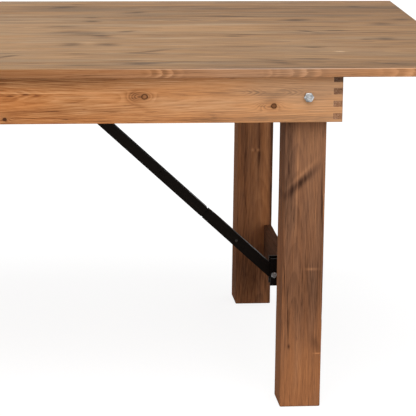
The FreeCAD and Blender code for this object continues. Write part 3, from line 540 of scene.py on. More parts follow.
class Skin:
    """Closed sheets of points, gathered as the surface of one piece."""

    def __init__(self):
        self.points, self.faces, self.count = [], [], 0

    def add(self, grid, ring=False):
        """Add a closed sheet, rows by columns by xyz, whose columns join up.

        The rows of a ring join up too, and any other sheet ends in a flat face at its first and
        last row. The faces point outwards: the sheet is turned over if the volume inside, the sum
        of each face's middle dotted with its area, comes out negative.
        """
        rows, columns = grid.shape[:2]
        index = np.arange(rows * columns).reshape(rows, columns)
        first, second = (index, np.roll(index, -1, 0)) if ring else (index[:-1], index[1:])
        quads = np.stack((first, np.roll(first, -1, 1), np.roll(second, -1, 1), second), -1)
        quads = quads.reshape(-1, 4)
        points = grid.reshape(-1, 3)
        corners = points[quads] - points.mean(0)
        area = np.cross(corners[:, 2] - corners[:, 0], corners[:, 3] - corners[:, 1]) / 2
        volume = (corners.mean(1) * area).sum()
        caps = [] if ring else [index[0][::-1], index[-1]]
        for cap in caps:
            rim = points[cap] - points.mean(0)
            volume += (rim.mean(0) * np.cross(rim, np.roll(rim, -1, 0)).sum(0) / 2).sum()
        faces = quads.tolist() + [cap.tolist() for cap in caps]
        turn = -1 if volume < 0 else 1
        self.faces += [[self.count + corner for corner in face[::turn]] for face in faces]
        self.points.append(points)
        self.count += len(points)
        return self

    def piece(self, name, node, paint):
        """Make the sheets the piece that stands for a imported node."""
        mesh = bpy.data.meshes.new(name)
        mesh.from_pydata(np.concatenate(self.points), [], self.faces)
        settle(name, mesh, node, paint)


def settle(name, mesh, node, paint):
    """Put a mesh, smooth but for edges sharper than CREASE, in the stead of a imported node."""
    mesh.polygons.foreach_set("use_smooth", np.ones(len(mesh.polygons), bool))
    mesh.set_sharp_from_angle(angle=CREASE)
    mesh.materials.clear()
    mesh.materials.append(paint.material)
    thing = bpy.data.objects.new(name, mesh)
    bpy.context.scene.collection.objects.link(thing)
    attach(thing, body_of[node])
    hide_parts(node)
    return thing


def smooth_line(rng, places, cell):
    """Values from -1 to 1 that wander smoothly: random levels a cell apart, joined by cosines."""
    steps = (places - places.min()) / cell
    levels = rng.uniform(-1, 1, int(steps.max()) + 2)
    before = np.floor(steps).astype(int)
    share = (1 - np.cos(np.pi * (steps - before))) / 2
    return levels[before] * (1 - share) + levels[before + 1] * share


# A quarter circle about the middle of a rounded corner, with a point on the flat at each side.
CORNER = np.radians(np.linspace(0, 90, 5))
CORNER_POINTS = np.concatenate((
    [[1, -0.5]], np.stack((np.cos(CORNER), np.sin(CORNER)), 1), [[-0.5, 1]],
))
STATIONS = 90
WEAR_CELL = 45 * MM


def worn_bar(low, high, axes, ease, wear, seed, dents=(), crown=0.0):
    """A sawn bar: a rectangle with rounded corners, carried along the grain.

    axes names the directions along, across and deep. Each arris has a radius of its own, ease
    times 1 plus wear times a wandering line, and deeper in a bell at each dent, which is corner,
    along, length and depth, but no deeper than 0.95 of the section's half width. The section
    draws in by a quarter circle at both ends. With a crown, the last half width of the bar is
    round across, a half circle of that radius.
    """
    order = ["xyz".index(axis) for axis in axes]
    low, high = np.array(low)[order], np.array(high)[order]
    middle, half = (low + high) / 2, (high - low) / 2
    rng = np.random.default_rng(seed)
    main = np.linspace(-half[0] + 2 * ease, half[0] - 2 * ease, STATIONS)
    turn = np.radians([90, 60, 30, 0])
    end = half[0] - ease + ease * np.sin(turn)
    draw = ease * (1 - np.cos(turn))
    if crown:
        swing = np.radians(np.linspace(0, 86, 18))
        start = half[0] - crown
        main = main[main < start - ease]
        places = np.concatenate((-end, main, start + crown * np.sin(swing)))
        narrow = crown * np.cos(swing) / half[1]
        draws = np.concatenate((draw, np.zeros(len(main) + len(swing))))
        share = np.concatenate((np.ones(len(turn) + len(main)), narrow))
    else:
        places = np.concatenate((-end, main, end[::-1]))
        draws = np.concatenate((draw, np.zeros(len(main)), draw[::-1]))
        share = np.ones(len(places))
    lines = [smooth_line(rng, places, WEAR_CELL) for _ in range(4)]
    radii = ease * (1 + wear * np.stack(lines, 1))
    for corner, along, length, depth in dents:
        radii[:, corner] += depth * np.exp(-(((places - along) / length) ** 2))
    radii = np.minimum(radii, (half[1] * share - draws)[:, None] * 0.95)
    across = half[1] * share - draws
    deep = half[2] - draws
    section = []
    for quarter, (side, face) in enumerate(((1, 1), (-1, 1), (-1, -1), (1, -1))):
        angle = quarter * math.pi / 2
        spin = np.array([[math.cos(angle), math.sin(angle)], [-math.sin(angle), math.cos(angle)]])
        local = CORNER_POINTS @ spin
        radius = radii[:, quarter]
        middle_u, middle_v = side * (across - radius), face * (deep - radius)
        section.append(np.stack((
            middle_u[:, None] + radius[:, None] * local[:, 0],
            middle_v[:, None] + radius[:, None] * local[:, 1],
        ), -1))
    section = np.concatenate(section, 1)
    grid = np.empty(section.shape[:2] + (3,))
    grid[..., order[0]] = places[:, None] + middle[0]
    grid[..., order[1]] = section[..., 0] + middle[1]
    grid[..., order[2]] = section[..., 1] + middle[2]
    return grid


def turned(profile, centre, axis, steps=24, flats=0.0, turn=0.0, cross=None):
    """Rings about an axis: each row of the profile is a radius and a place along the axis.

    Millimetres. With flats, no ring reaches beyond a hexagon of that width across its flats, so a
    cone through the hexagon's corners leaves their curved chamfers. A cross sinks the face of a
    screw: length, width and depth of two slots, sunk where the nearer of the two arm axes is
    within half a width.
    """
    profile = np.array(profile, float)
    angle = np.linspace(0, 2 * math.pi, steps, endpoint=False)
    radius = np.repeat(profile[:, :1], steps, 1)
    place = np.repeat(profile[:, 1:], steps, 1)
    if flats:
        across = np.mod(angle, math.pi / 3) - math.pi / 6
        radius = np.minimum(radius, flats / 2 / np.cos(across))
    if cross:
        length, width, depth = cross
        arm = np.minimum(np.abs(radius * np.cos(angle)), np.abs(radius * np.sin(angle)))
        inside = np.clip((width / 2 - arm) / (0.3 * width) + 0.5, 0, 1)
        inside = inside * np.clip((length / 2 - radius) / (0.15 * length) + 0.5, 0, 1)
        front = place < profile[:, 1].min() + depth
        place = place + np.where(front, inside * depth, 0)
    axis = Vector(axis).normalized()
    side = axis.orthogonal().normalized()
    other = axis.cross(side)
    angle = angle + turn
    out = np.cos(angle)[:, None] * np.array(side) + np.sin(angle)[:, None] * np.array(other)
    grid = np.array(centre) + place[..., None] * np.array(axis) + radius[..., None] * out[None]
    return grid * MM


# The flat face of a chamfered hexagon, as a share of its width, and a thread's depth, crest and
# chamfer, as shares of its pitch and its depth.
HEXAGON_FACE = 0.94
THREAD_DEPTH, THREAD_CREST, THREAD_CHAMFER = 0.4, (0.38, 0.62), 1.6


def hexagon(flats, low, high, chamfered_low, chamfered_high):
    """A hexagon's profile from low to high, with a 30 degree cone at the ends that are chamfered.

    It is drawn a little wider than its corners, and turned trims it to the flats.
    """
    corner = flats / 2 / math.cos(math.pi / 6) + 0.1
    inner = flats / 2 * HEXAGON_FACE
    radii = np.linspace(inner, corner, 6)
    drop = (radii - inner) * math.tan(math.radians(30))
    rows = []
    if chamfered_low:
        rows += [(radius, low + fall) for radius, fall in zip(radii, drop)]
    else:
        rows += [(corner, low)]
    rows += [(corner, low + (high - low) * share) for share in (0.4, 0.6)]
    if chamfered_high:
        rows += [(radius, high - fall) for radius, fall in zip(radii[::-1], drop[::-1])]
    else:
        rows += [(corner, high)]
    return rows


def thread(radius, start, stop, pitch):
    """A profile of ridges with flat crests from start to stop, ending in a chamfer."""
    count = int(abs(stop - start) / pitch)
    step = math.copysign(pitch, stop - start)
    depth = pitch * THREAD_DEPTH
    rows = []
    for ridge in range(count):
        at = start + ridge * step
        rows += [(radius - depth, at)] + [(radius, at + share * step) for share in THREAD_CREST]
    return rows + [(radius - depth, stop - 0.1 * step), (radius - depth * THREAD_CHAMFER, stop)]


def half_turn(grid):
    """The same points after half a turn about the vertical, for the other end of the table."""
    return grid * np.array([-1, -1, 1])


SCREW_PROFILE = [
    (0.25, 0.0), (0.8, 0.0), (1.4, 0.0), (2.0, 0.02), (2.6, 0.05), (3.25, 0.14), (3.9, 0.42),
    (4.3, 0.85), (4.48, 1.4), (4.5, 2.45), (2.25, 2.5), (2.2, 4.0),
]
SCREW_CROSS = (5.4, 1.1, 1.1)


def screw(place, direction):
    """A pan head with a sunk cross, from its outer face inwards along direction."""
    turn = chance.uniform(0, 3)
    return turned(SCREW_PROFILE, place, direction, 32, turn=turn, cross=SCREW_CROSS)


def eased(name, node, width, paint):
    """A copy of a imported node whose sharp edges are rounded."""
    clean = bmesh.new()
    clean.from_mesh(nodes[node].data)
    bmesh.ops.remove_doubles(clean, verts=clean.verts, dist=0.01 * MM)
    bmesh.ops.dissolve_limit(
        clean, angle_limit=math.radians(1.0), verts=clean.verts, edges=clean.edges
    )
    mesh = bpy.data.meshes.new(name)
    clean.to_mesh(mesh)
    clean.free()
    if "custom_normal" in mesh.attributes:
        mesh.attributes.remove(mesh.attributes["custom_normal"])
    rounding = settle(name, mesh, node, paint).modifiers.new("rounded edges", "BEVEL")
    rounding.width = width
    rounding.segments = 2
    rounding.limit_method = "ANGLE"
    rounding.angle_limit = math.radians(40)
    rounding.harden_normals = True


# Wooden pieces. A mark is along, across, length, width, slant and strength. A knot is along,
# across, size and 1 for an open ring. A vee, or a swirl on a board's edge, is along, across,
# length, width, pitch and strength. A painted sheen towards the ends is start, stop, share and
# cast.

BOARD_MARKS = {
    "top_board_01": [
        (0.365, 0.046, 0.04, 0.005, 0.0, -0.5), (0.358, 0.02, 0.035, 0.01, 0.0, 0.4),
        (0.12, 0.03, 0.1, 0.005, 0.02, 0.25), (0.665, 0.01, 0.026, 0.014, -0.3, 0.32),
        (0.89, 0.004, 0.03, 0.006, -0.5, 0.3),
    ],
    "top_board_02": [
        (0.075, 0.026, 0.035, 0.01, 0.8, 0.45), (0.664, -0.05, 0.05, 0.012, -0.5, 0.35),
        (0.34, -0.02, 0.14, 0.006, 0.05, -0.25),
    ],
    "top_board_03": [
        (0.398, 0.0, 0.035, 0.01, 0.5, 0.45), (0.807, -0.018, 0.011, 0.006, 0.0, -0.6),
        (0.37, -0.03, 0.04, 0.008, -0.3, 0.35), (0.1, 0.02, 0.12, 0.006, 0.0, -0.25),
        (0.754, 0.042, 0.022, 0.008, -0.2, 0.5),
    ],
    "top_board_04": [
        (0.222, 0.001, 0.024, 0.022, 0.3, 0.4), (0.298, -0.001, 0.026, 0.022, -0.1, 0.42),
        (0.762, -0.045, 0.03, 0.008, 0.0, 0.35), (0.55, 0.03, 0.14, 0.006, -0.03, 0.28),
        (0.26, 0.02, 0.03, 0.014, 0.0, -0.2),
    ],
    "top_board_05": [
        (0.296, 0.028, 0.022, 0.028, -0.3, 0.4), (0.25, 0.06, 0.05, 0.02, -0.2, 0.3),
        (0.623, 0.045, 0.035, 0.008, 0.0, 0.4), (0.46, -0.01, 0.12, 0.006, 0.04, -0.28),
        (0.94, -0.024, 0.024, 0.024, 0.0, 0.32), (0.894, -0.032, 0.014, 0.012, 0.0, 0.3),
    ],
    "top_board_06": [
        (0.226, 0.0, 0.05, 0.024, 0.15, 0.34), (0.27, -0.028, 0.04, 0.018, 0.2, 0.3),
        (0.357, 0.003, 0.02, 0.012, 0.4, 0.45), (0.776, -0.004, 0.018, 0.012, -0.4, 0.48),
        (0.847, 0.009, 0.026, 0.008, 0.0, 0.45), (0.778, -0.02, 0.014, 0.008, 0.0, -0.4),
        (0.06, 0.0, 0.14, 0.012, 0.0, -0.25),
    ],
    "top_board_07": [
        (0.206, -0.017, 0.035, 0.018, 0.0, 0.32), (0.973, 0.025, 0.028, 0.022, 0.0, 0.34),
        (0.58, 0.01, 0.16, 0.007, 0.02, -0.25),
    ],
    "top_board_08": [
        (0.285, -0.024, 0.018, 0.014, 0.0, 0.38), (0.288, 0.041, 0.018, 0.014, 0.0, 0.34),
        (0.779, -0.008, 0.03, 0.018, 0.0, 0.32), (1.036, -0.004, 0.024, 0.016, 0.0, 0.3),
        (0.47, 0.02, 0.1, 0.007, -0.03, 0.25),
    ],
    "top_board_09": [
        (0.41, 0.04, 0.035, 0.014, 0.5, 0.42), (0.12, -0.01, 0.12, 0.01, 0.0, -0.2),
    ],
    "top_board_10": [
        (0.238, 0.036, 0.035, 0.014, 0.5, 0.45), (0.66, 0.0, 0.1, 0.01, 0.0, 0.25),
    ],
}
# Painted sheen that pales the front board's edge and the front apron towards their ends, with a
# painted highlight on an arris.
EDGE_PAINTED_SHEEN = (0.05, 0.6, 0.31, (0.68, 0.65, 0.6))
APRON_PAINTED_SHEEN = (0.1, 0.8, 0.5, (0.94, 0.85, 0.78))
BOARD_LIFTS = (0.03, 0.11, 0.12, 0.14, 0.12, 0.14, 0.13, 0.06, -0.01, -0.07, 0.06)
EDGE_SWIRLS = [
    (0.4, 0.0, 0.03, 0.03, 0.023, -0.5), (0.7, 0.0, 0.04, 0.03, 0.031, -0.46),
    (0.625, 0.0, 0.016, 0.03, 0.019, -0.2), (0.94, 0.0, 0.07, 0.03, 0.036, -0.42),
    (-0.31, 0.0, 0.04, 0.03, 0.029, -0.25), (-0.78, 0.0, 0.03, 0.03, 0.022, -0.25),
]
APRON_KNOTS = [
    (0.361, 0.0072, 0.0053, 1), (0.6355, -0.0143, 0.005, 0.45), (0.0676, -0.0392, 0.0034, 0),
]
APRON_MARKS = [
    (0.628, -0.002, 0.018, 0.01, 0.4, 0.35), (0.055, 0.035, 0.018, 0.012, 0.0, 0.22),
    (0.17, 0.016, 0.13, 0.0018, 0.0, -0.5), (0.1, 0.0126, 0.05, 0.005, 0.0, 0.12),
    (0.34, 0.006, 0.016, 0.015, 0.0, 0.35), (0.35, -0.012, 0.02, 0.005, -0.5, 0.2),
    (0.66, 0.013, 0.09, 0.008, 0.0, 0.22), (0.7, -0.042, 0.09, 0.006, 0.0, 0.3),
    (0.56, -0.043, 0.26, 0.007, 0.0, 0.32), (0.66, 0.022, 0.14, 0.016, 0.0, 0.18),
    (0.5, 0.034, 0.24, 0.012, 0.0, -0.22), (0.1, -0.04, 0.1, 0.008, 0.0, -0.05),
    (0.25, -0.004, 0.12, 0.02, 0.0, -0.16), (0.16, -0.022, 0.1, 0.004, 0.02, 0.2),
    (0.55, -0.028, 0.12, 0.003, 0.0, 0.2), (0.48, -0.01, 0.13, 0.018, 0.0, -0.13),
    (0.52, 0.008, 0.07, 0.003, 0.0, 0.25),
]
APRON_VEES = [
    (0.105, 0.0126, 0.04, 0.01, 0.026, -0.34), (0.594, 0.015, 0.02, 0.007, 0.015, 0.5),
    (0.678, 0.015, 0.018, 0.007, 0.013, 0.45),
]
LEG_MARKS = [
    (0.136, -0.007, 0.03, 0.011, 1.0, 0.54), (0.151, -0.009, 0.028, 0.006, 1.0, -0.22),
    (0.128, -0.0165, 0.12, 0.0022, 0.022, -0.28), (0.085, 0.0385, 0.06, 0.0024, -0.023, 0.5),
    (0.085, 0.0425, 0.06, 0.0016, -0.023, -0.5),
    (-0.058, 0.022, 0.003, 0.014, 0.0, -0.35), (-0.071, -0.04, 0.05, 0.0014, -0.05, 0.4),
    (-0.17, -0.03, 0.07, 0.0016, -0.055, 0.34), (-0.232, -0.027, 0.005, 0.0026, 0.0, 0.5),
    (-0.227, 0.032, 0.02, 0.008, -0.3, 0.24), (-0.2488, 0.038, 0.0014, 0.008, 0.0, -0.6),
    (-0.31, 0.0, 0.1, 0.06, 0.0, -0.22), (0.22, 0.01, 0.09, 0.04, 0.0, -0.15),
    (0.16, -0.034, 0.16, 0.01, 0.0, 0.25), (-0.1, 0.01, 0.07, 0.05, 0.0, 0.2),
]
REAR_LEG_MARKS = [
    (0.032, -0.006, 0.004, 0.004, 0.0, -0.5), (0.032, 0.008, 0.004, 0.004, 0.0, -0.5),
    (0.031, 0.001, 0.005, 0.003, 0.0, 0.35), (-0.06, 0.008, 0.13, 0.01, -0.1, -0.2),
    (0.03, 0.0102, 0.09, 0.003, 0.0, 0.5), (-0.3, 0.0, 0.1, 0.07, 0.0, 0.45),
    (0.1, 0.027, 0.32, 0.01, 0.0, -0.24), (0.05, 0.0425, 0.4, 0.005, 0.0, 0.5),
    (0.15, -0.03, 0.2, 0.008, 0.0, 0.2), (-0.05, -0.024, 0.16, 0.004, 0.0, 0.3),
]
# The ranges from which further marks are drawn at random.
BOARD_MARK_RANGES = (
    (-1.0, 1.0), (-0.04, 0.04), (0.012, 0.08), (0.004, 0.011), (-0.08, 0.08), (-0.25, 0.38),
)
LEG_MARK_RANGES = (
    (-0.34, 0.25), (-0.035, 0.035), (0.02, 0.08), (0.002, 0.006), (-0.1, 0.1), (-0.3, 0.45),
)
# A dent in an arris is its corner, along, length and depth.
LEG_DENTS = {
    "right_front_leg": [
        (3, -0.166, 0.006, 3.0 * MM), (3, -0.155, 0.02, 1.2 * MM), (2, -0.05, 0.01, 1.0 * MM),
    ],
}
STRETCHER_REACH = 377 * MM


def drawn(ranges):
    """One random value from each range, in their order."""
    return [chance.uniform(low, high) for low, high in ranges]


def dress(node, paint):
    """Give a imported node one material."""
    nodes[node].data.materials.clear()
    nodes[node].data.materials.append(paint.material)


def saw(name, node, paint, box, axes, ease, wear, seed, dents=(), crown=0.0):
    """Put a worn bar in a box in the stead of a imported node."""
    bar = worn_bar(*box, axes, ease, wear, seed, dents, crown)
    Skin().add(bar).piece(name, node, paint)


boards = sorted(name for name in nodes if name.startswith("top_board"))
for index, name in enumerate(boards):
    seed = 100 + index
    side = chance.choice((-1, 1))
    log = (
        chance.uniform(-0.03, 0.03), side * chance.uniform(0.035, 0.10),
        chance.uniform(2.6, 4.2) * MM, side * chance.uniform(0.012, 0.03),
    )
    marks = BOARD_MARKS.get(name, []) + [drawn(BOARD_MARK_RANGES) for _ in range(8)]
    paint = Wood(
        f"wood_{name}", name, "xyz", TOP_TONES, log, seed, marks=marks,
        swirls=EDGE_SWIRLS if index in (0, len(boards) - 1) else (),
        lift=BOARD_LIFTS[index], painted_sheen=EDGE_PAINTED_SHEEN if index == 0 else (),
    )
    saw(f"planed_{name}", name, paint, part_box(name), "xyz", ease=0.9 * MM, wear=0.5, seed=seed)

dress("front_apron", Wood(
    "wood_front_apron", "front_apron", "xzy", APRON_TONES, (0.004, 0.034, 2.7 * MM, 0.022), 201,
    knots=APRON_KNOTS, marks=APRON_MARKS, vees=APRON_VEES, painted_sheen=APRON_PAINTED_SHEEN, lift=0.05,
))
OTHER_APRONS = {"rear_apron": "xzy", "right_end_apron": "yzx", "left_end_apron": "yzx"}
for index, (name, axes) in enumerate(OTHER_APRONS.items()):
    log = (chance.uniform(-0.02, 0.02), 0.04, 3.0 * MM, 0.02)
    knots = [
        (
            chance.uniform(-0.4, 0.4), chance.uniform(-0.03, 0.03), chance.uniform(3, 7) * MM,
            index % 2,
        )
        for _ in range(3)
    ]
    dress(name, Wood(
        f"wood_{name}", name, axes, APRON_TONES, log, 210 + index, knots=knots,
        # The end aprons' end grain gets a painted shadow at its top, under the overhang of the
        # table top.
        ends=(0.30, 0.36) if "end" in name else (0.46, 0.0),
    ))

for index, name in enumerate(sorted(name for name in nodes if name.endswith("_batten"))):
    seed = 300 + index
    log = (chance.uniform(-0.03, 0.03), 0.05, 3.2 * MM, 0.02)
    paint = Wood(f"wood_{name}", name, "yxz", APRON_TONES, log, seed, lift=-0.05)
    saw(f"planed_{name}", name, paint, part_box(name), "yxz", ease=1.5 * MM, wear=0.4, seed=seed)

for index, name in enumerate(sorted(name for name in nodes if name.endswith("_leg"))):
    seed = 400 + index
    log = (chance.uniform(-0.02, 0.02), chance.uniform(0.03, 0.07), 2.6 * MM, 0.03)
    marks = {"right_front_leg": LEG_MARKS, "right_rear_leg": REAR_LEG_MARKS}.get(name)
    marks = marks or [drawn(LEG_MARK_RANGES) for _ in range(6)]
    paint = Wood(
        f"wood_{name}", name, "zxy", LEG_TONES, log, seed, marks=marks,
        lift=0.25 if "rear" in name else 0.04,
    )
    low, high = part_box(name)
    saw(
        f"sawn_{name}", name, paint, (low, high), "zxy", ease=2.4 * MM, wear=0.45, seed=seed,
        dents=LEG_DENTS.get(name, ()), crown=(high.x - low.x) / 2,
    )

for index, name in enumerate(("right_stretcher", "left_stretcher")):
    seed = 500 + index
    log = (chance.uniform(-0.03, 0.03), 0.05, 3.0 * MM, 0.02)
    paint = Wood(f"wood_{name}", name, "yzx", LEG_TONES, log, seed, lift=-0.2)
    low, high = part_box(name)
    between_legs = (low.x, -STRETCHER_REACH, low.z), (high.x, STRETCHER_REACH, high.z)
    saw(f"sawn_{name}", name, paint, between_legs, "yzx", ease=1.6 * MM, wear=0.4, seed=seed)


# Bolts, nuts, washers, pins, rivets and screws, in millimetres. Heads, shanks and threads are
# given by where they start and stop along their axis, from the middle of the table.

UP, REAR, RIGHT = (0, 0, 1), (0, 1, 0), (1, 0, 0)

PIVOT_X, PIVOT_Z = 709.5, 696.5
PIVOT_FLATS, PIVOT_PITCH = 19, 1.75
PIVOT_SHANK_RADIUS, PIVOT_THREAD_RADIUS = 5.9, 5.95
PIVOT_HEAD, PIVOT_SHANK, PIVOT_THREAD = (490.0, 497.5), (489.0, 376.0), (374.5, 359.0)
PIVOT_NUT = (362.0, 372.0)
PIVOT_WASHERS = (464.6, 467.3, 372.0)
WASHER_SECTION = [
    (6.1, 0.3), (6.4, 0.0), (15.4, 0.0), (16.0, 0.6), (16.0, 2.3), (15.7, 2.7), (6.4, 2.7),
    (6.1, 2.4),
]
HEAD_TURNS = (0.30, 0.75, 0.1, 0.5)
bolts, nuts, washers = Skin(), Skin(), Skin()
for turn, (x, y) in zip(HEAD_TURNS, ((1, -1), (1, 1), (-1, -1), (-1, 1))):
    centre = (x * PIVOT_X, 0, PIVOT_Z)
    outward = (0, y, 0)
    head = hexagon(PIVOT_FLATS, *PIVOT_HEAD, False, True)
    bolts.add(turned(head, centre, outward, 72, PIVOT_FLATS, turn))
    shank = [(PIVOT_SHANK_RADIUS, at) for at in PIVOT_SHANK]
    shank += thread(PIVOT_THREAD_RADIUS, *PIVOT_THREAD, PIVOT_PITCH)
    bolts.add(turned(shank, centre, outward))
    nut = hexagon(PIVOT_FLATS, *PIVOT_NUT, True, False)
    nuts.add(turned(nut, centre, outward, 72, PIVOT_FLATS, turn + 0.4))
    for start in PIVOT_WASHERS:
        rim = [(radius, start + place) for radius, place in WASHER_SECTION]
        washers.add(turned(rim, centre, outward, 40), ring=True)
bolts.piece("hex_pivot_bolts", "pivot_bolts", ZINC)
nuts.piece("hex_pivot_nuts", "pivot_nuts", ZINC)
washers.piece("flat_pivot_washers", "pivot_washers", ZINC)

DOME = [(0.8, 0.0), (2.4, 0.06), (3.8, 0.28), (4.8, 0.7), (5.35, 1.2), (5.5, 1.7), (5.5, 2.2)]
DOME_HEIGHT = 2.2
STEM_RADIUS = 4.0


def headed_pin(low, high, centre):
    """A pin with a low domed head at both ends."""
    profile = [(radius, low + rise) for radius, rise in DOME]
    profile += [(STEM_RADIUS, low + DOME_HEIGHT), (STEM_RADIUS, high - DOME_HEIGHT)]
    profile += [(radius, high - rise) for radius, rise in DOME[::-1]]
    return turned(profile, centre, REAR, 32)


def stud(head, foot, centre):
    """A stud with its domed head at one end."""
    side = 1 if foot > head else -1
    profile = [(radius, head + side * rise) for radius, rise in DOME]
    profile += [(STEM_RADIUS, head + side * DOME_HEIGHT), (STEM_RADIUS, foot)]
    return turned(profile, centre, REAR, 32)


ANCHOR = (143, 0, 689)
ANCHOR_PIN = headed_pin(45.0, 75.0, ANCHOR)
pins = Skin().add(ANCHOR_PIN).add(half_turn(ANCHOR_PIN))
pins.piece("domed_anchor_pins", "anchor_pins", BLACK)

ELBOW = (442.93, 0, 415.2)
STUDS = ((45.3, 50.2), (74.7, 69.8))

RIVET = (625.42, 0, 248.6)
RIVET_HALF = [(0.7, 50.5), (2.6, 50.55), (3.2, 50.75), (3.45, 51.1), (3.5, 52.0), (2.0, 52.0)]
BRACE_MIDDLE = 60
RIVET_PROFILE = RIVET_HALF + [(radius, 2 * BRACE_MIDDLE - at) for radius, at in RIVET_HALF[::-1]]

FOOT = (717, 0, 165)
FOOT_FLATS, FOOT_RADIUS, FOOT_PITCH = 13, 3.95, 1.25
FOOT_HEAD, FOOT_SHANK, FOOT_THREAD = (38.4, 43.7), (43.6, 74.0), (75.0, 84.8)
FOOT_NUT = (76.3, 82.8)
BUSHES = ((46.7, 50.2), (69.8, 73.3))
CLEVIS_SCREW_X = 729.5
CLEVIS_SCREWS = [(y, z) for y in (32.7, 87.3) for z in (148.6, 193.4)]

# The left brace is the right one after half a turn about the vertical.
for side, place in (("right", np.array), ("left", half_turn)):
    studs = Skin()
    for head, foot in STUDS:
        studs.add(place(stud(head, foot, ELBOW)))
    studs.piece(f"{side}_domed_elbow_studs", f"{side}_elbow_studs", BLACK)
    rivet = Skin().add(place(turned(RIVET_PROFILE, RIVET, REAR)))
    # The rivet's lighter brown paint is a painted highlight.
    rivet.piece(f"{side}_flush_rivet", f"{side}_foot_rivet", RIVET_HIGHLIGHT)
    head = hexagon(FOOT_FLATS, *FOOT_HEAD, True, False)
    bolt = Skin().add(place(turned(head, FOOT, REAR, 72, FOOT_FLATS, 0.2)))
    shank = [(FOOT_RADIUS, at) for at in FOOT_SHANK]
    shank += thread(FOOT_RADIUS, *FOOT_THREAD, FOOT_PITCH)
    bolt.add(place(turned(shank, FOOT, REAR)))
    bolt.piece(f"{side}_hex_clevis_bolt", f"{side}_clevis_bolt", ZINC)
    nut = hexagon(FOOT_FLATS, *FOOT_NUT, False, True)
    nut = Skin().add(place(turned(nut, FOOT, REAR, 72, FOOT_FLATS, 0.5)))
    nut.piece(f"{side}_hex_clevis_nut", f"{side}_clevis_nut", ZINC)
    bushes = Skin()
    for start, stop in BUSHES:
        rim = [
            (4.1, start + 0.2), (4.3, start), (5.2, start), (5.5, start + 0.3), (5.5, stop - 0.3),
            (5.2, stop), (4.3, stop), (4.1, stop - 0.2),
        ]
        bushes.add(place(turned(rim, FOOT, REAR, 32)), ring=True)
    bushes.piece(f"{side}_turned_bushes", f"{side}_clevis_bushes", BLACK)
    heads = Skin()
    for y, z in CLEVIS_SCREWS:
        heads.add(place(screw((CLEVIS_SCREW_X, y, z), RIGHT)))
    heads.piece(f"{side}_pan_clevis_screws", f"{side}_clevis_screws", BLACK)

BOARD_PITCH = 1016 / 11
BATTEN_SCREW_Z, ANCHOR_SCREW_Z = 720.5, 717.5
heads = Skin()
for side in (1, -1):
    for x in (143, 430):
        for row in range(-3, 4):
            heads.add(screw((side * x, row * BOARD_PITCH, BATTEN_SCREW_Z), UP))
heads.piece("pan_batten_screws", "batten_screws", ZINC)
heads = Skin()
for side in (1, -1):
    for x in (121, 165):
        for y in (43, 77):
            heads.add(screw((side * x, side * y, ANCHOR_SCREW_Z), UP))
heads.piece("pan_anchor_screws", "anchor_screws", BLACK)

EASED_EDGES = {
    "front_brace_bar": 0.5, "rear_brace_bar": 0.5, "brace_stop": 0.8, "brace_tongue": 0.5,
    "foot_channel": 0.4, "clevis": 0.8, "brace_anchor": 0.8,
}
for side in ("right", "left"):
    for part, width in EASED_EDGES.items():
        eased(f"{side}_eased_{part}", f"{side}_{part}", width * MM, BLACK)
dress("apron_screws", ZINC)


# Floor, light and camera.


def seen(paint):
    """1 where the camera sees a thing, also by a reflection or through glass."""
    rays = [
        paint.node("LightPath", output=name)
        for name in ("Is Camera Ray", "Is Glossy Ray", "Is Transmission Ray")
    ]
    return rays[0].largest(rays[1]).largest(rays[2])


def make_world(ambient):
    """An even white sky: plain white to the eye, and dimmer as a light."""
    world = bpy.data.worlds.new("studio")
    bpy.context.scene.world = world
    world.use_nodes = True
    paint = Paint("studio", world.node_tree)
    strength = ambient + seen(paint) * (1.0 - ambient)
    sky = paint.node("Background", None, {"Color": rgb(1, 1, 1), "Strength": strength})
    paint.node("OutputWorld", None, {"Surface": sky})


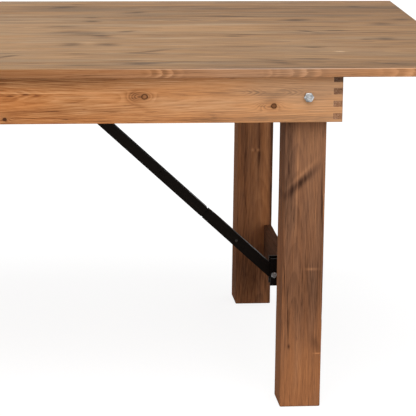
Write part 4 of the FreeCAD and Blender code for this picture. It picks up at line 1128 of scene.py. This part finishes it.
def make_floor(reach, bounce, shade, lift):
    """A square of floor: pale as a light, and to the eye lifted to white but for its shadows."""
    mesh = bpy.data.meshes.new("floor")
    corners = [(-reach, -reach, 0), (reach, -reach, 0), (reach, reach, 0), (-reach, reach, 0)]
    mesh.from_pydata(corners, [], [(0, 1, 2, 3)])
    floor = bpy.data.objects.new("floor", mesh)
    bpy.context.scene.collection.objects.link(floor)
    paint = Paint("floor_white")
    as_light = paint.node("BsdfDiffuse", None, {"Color": rgb(bounce, bounce, bounce)})
    shadowed = paint.node("BsdfDiffuse", None, {"Color": rgb(shade, shade, shade)})
    glow = paint.node("Emission", None, {"Color": rgb(1, 1, 1), "Strength": lift})
    to_eye = paint.node("AddShader", None, {0: shadowed, 1: glow})
    both = paint.node("MixShader", None, {0: seen(paint), 1: as_light, 2: to_eye})
    paint.node("OutputMaterial", None, {"Surface": both})
    mesh.materials.append(paint.material)


def make_sun(name, azimuth, height, spread, strength):
    """Parallel light from an azimuth, 0 in front and to the right positive, in degrees."""
    lamp = bpy.data.lights.new(name, "SUN")
    lamp.energy = strength
    lamp.angle = math.radians(spread)
    thing = bpy.data.objects.new(name, lamp)
    bpy.context.scene.collection.objects.link(thing)
    azimuth, height = math.radians(azimuth), math.radians(height)
    level = math.cos(height)
    source = Vector((math.sin(azimuth) * level, -math.cos(azimuth) * level, math.sin(height)))
    thing.rotation_mode = "QUATERNION"
    thing.rotation_quaternion = source.to_track_quat("Z", "Y")


CAMERA_PLACE = (0.0050, -5.0895, 1.5436)
FRAME_PIXELS = 416
FOCAL_PIXELS = 2227.88
SENSOR_WIDTH = 36.0


def make_camera(yaw, pitch, roll):
    """A camera turned by a yaw to the right, a pitch down and a roll, in radians."""
    ahead = Vector(
        (math.sin(yaw) * math.cos(pitch), math.cos(yaw) * math.cos(pitch), -math.sin(pitch))
    )
    right = Vector((math.cos(yaw), -math.sin(yaw), 0))
    up = right.cross(ahead)
    right_rolled = right * math.cos(roll) + up * math.sin(roll)
    up_rolled = up * math.cos(roll) - right * math.sin(roll)
    turn = Matrix((right_rolled, up_rolled, -ahead)).transposed().to_4x4()
    camera = bpy.data.cameras.new("camera")
    camera.sensor_width = SENSOR_WIDTH
    camera.lens = FOCAL_PIXELS / FRAME_PIXELS * SENSOR_WIDTH
    camera.clip_end = 200.0
    thing = bpy.data.objects.new("camera", camera)
    bpy.context.scene.collection.objects.link(thing)
    thing.matrix_world = Matrix.Translation(CAMERA_PLACE) @ turn
    bpy.context.scene.camera = thing


make_world(ambient=0.55)
make_floor(reach=40.0, bounce=0.6, shade=0.22, lift=0.86)
make_sun("key", azimuth=-18.0, height=55.0, spread=50.0, strength=1.6)
make_sun("front", azimuth=20.0, height=12.0, spread=70.0, strength=0.9)
make_camera(yaw=0.1068, pitch=0.2306, roll=0.0132)
bpy.context.scene.view_settings.view_transform = "Standard"
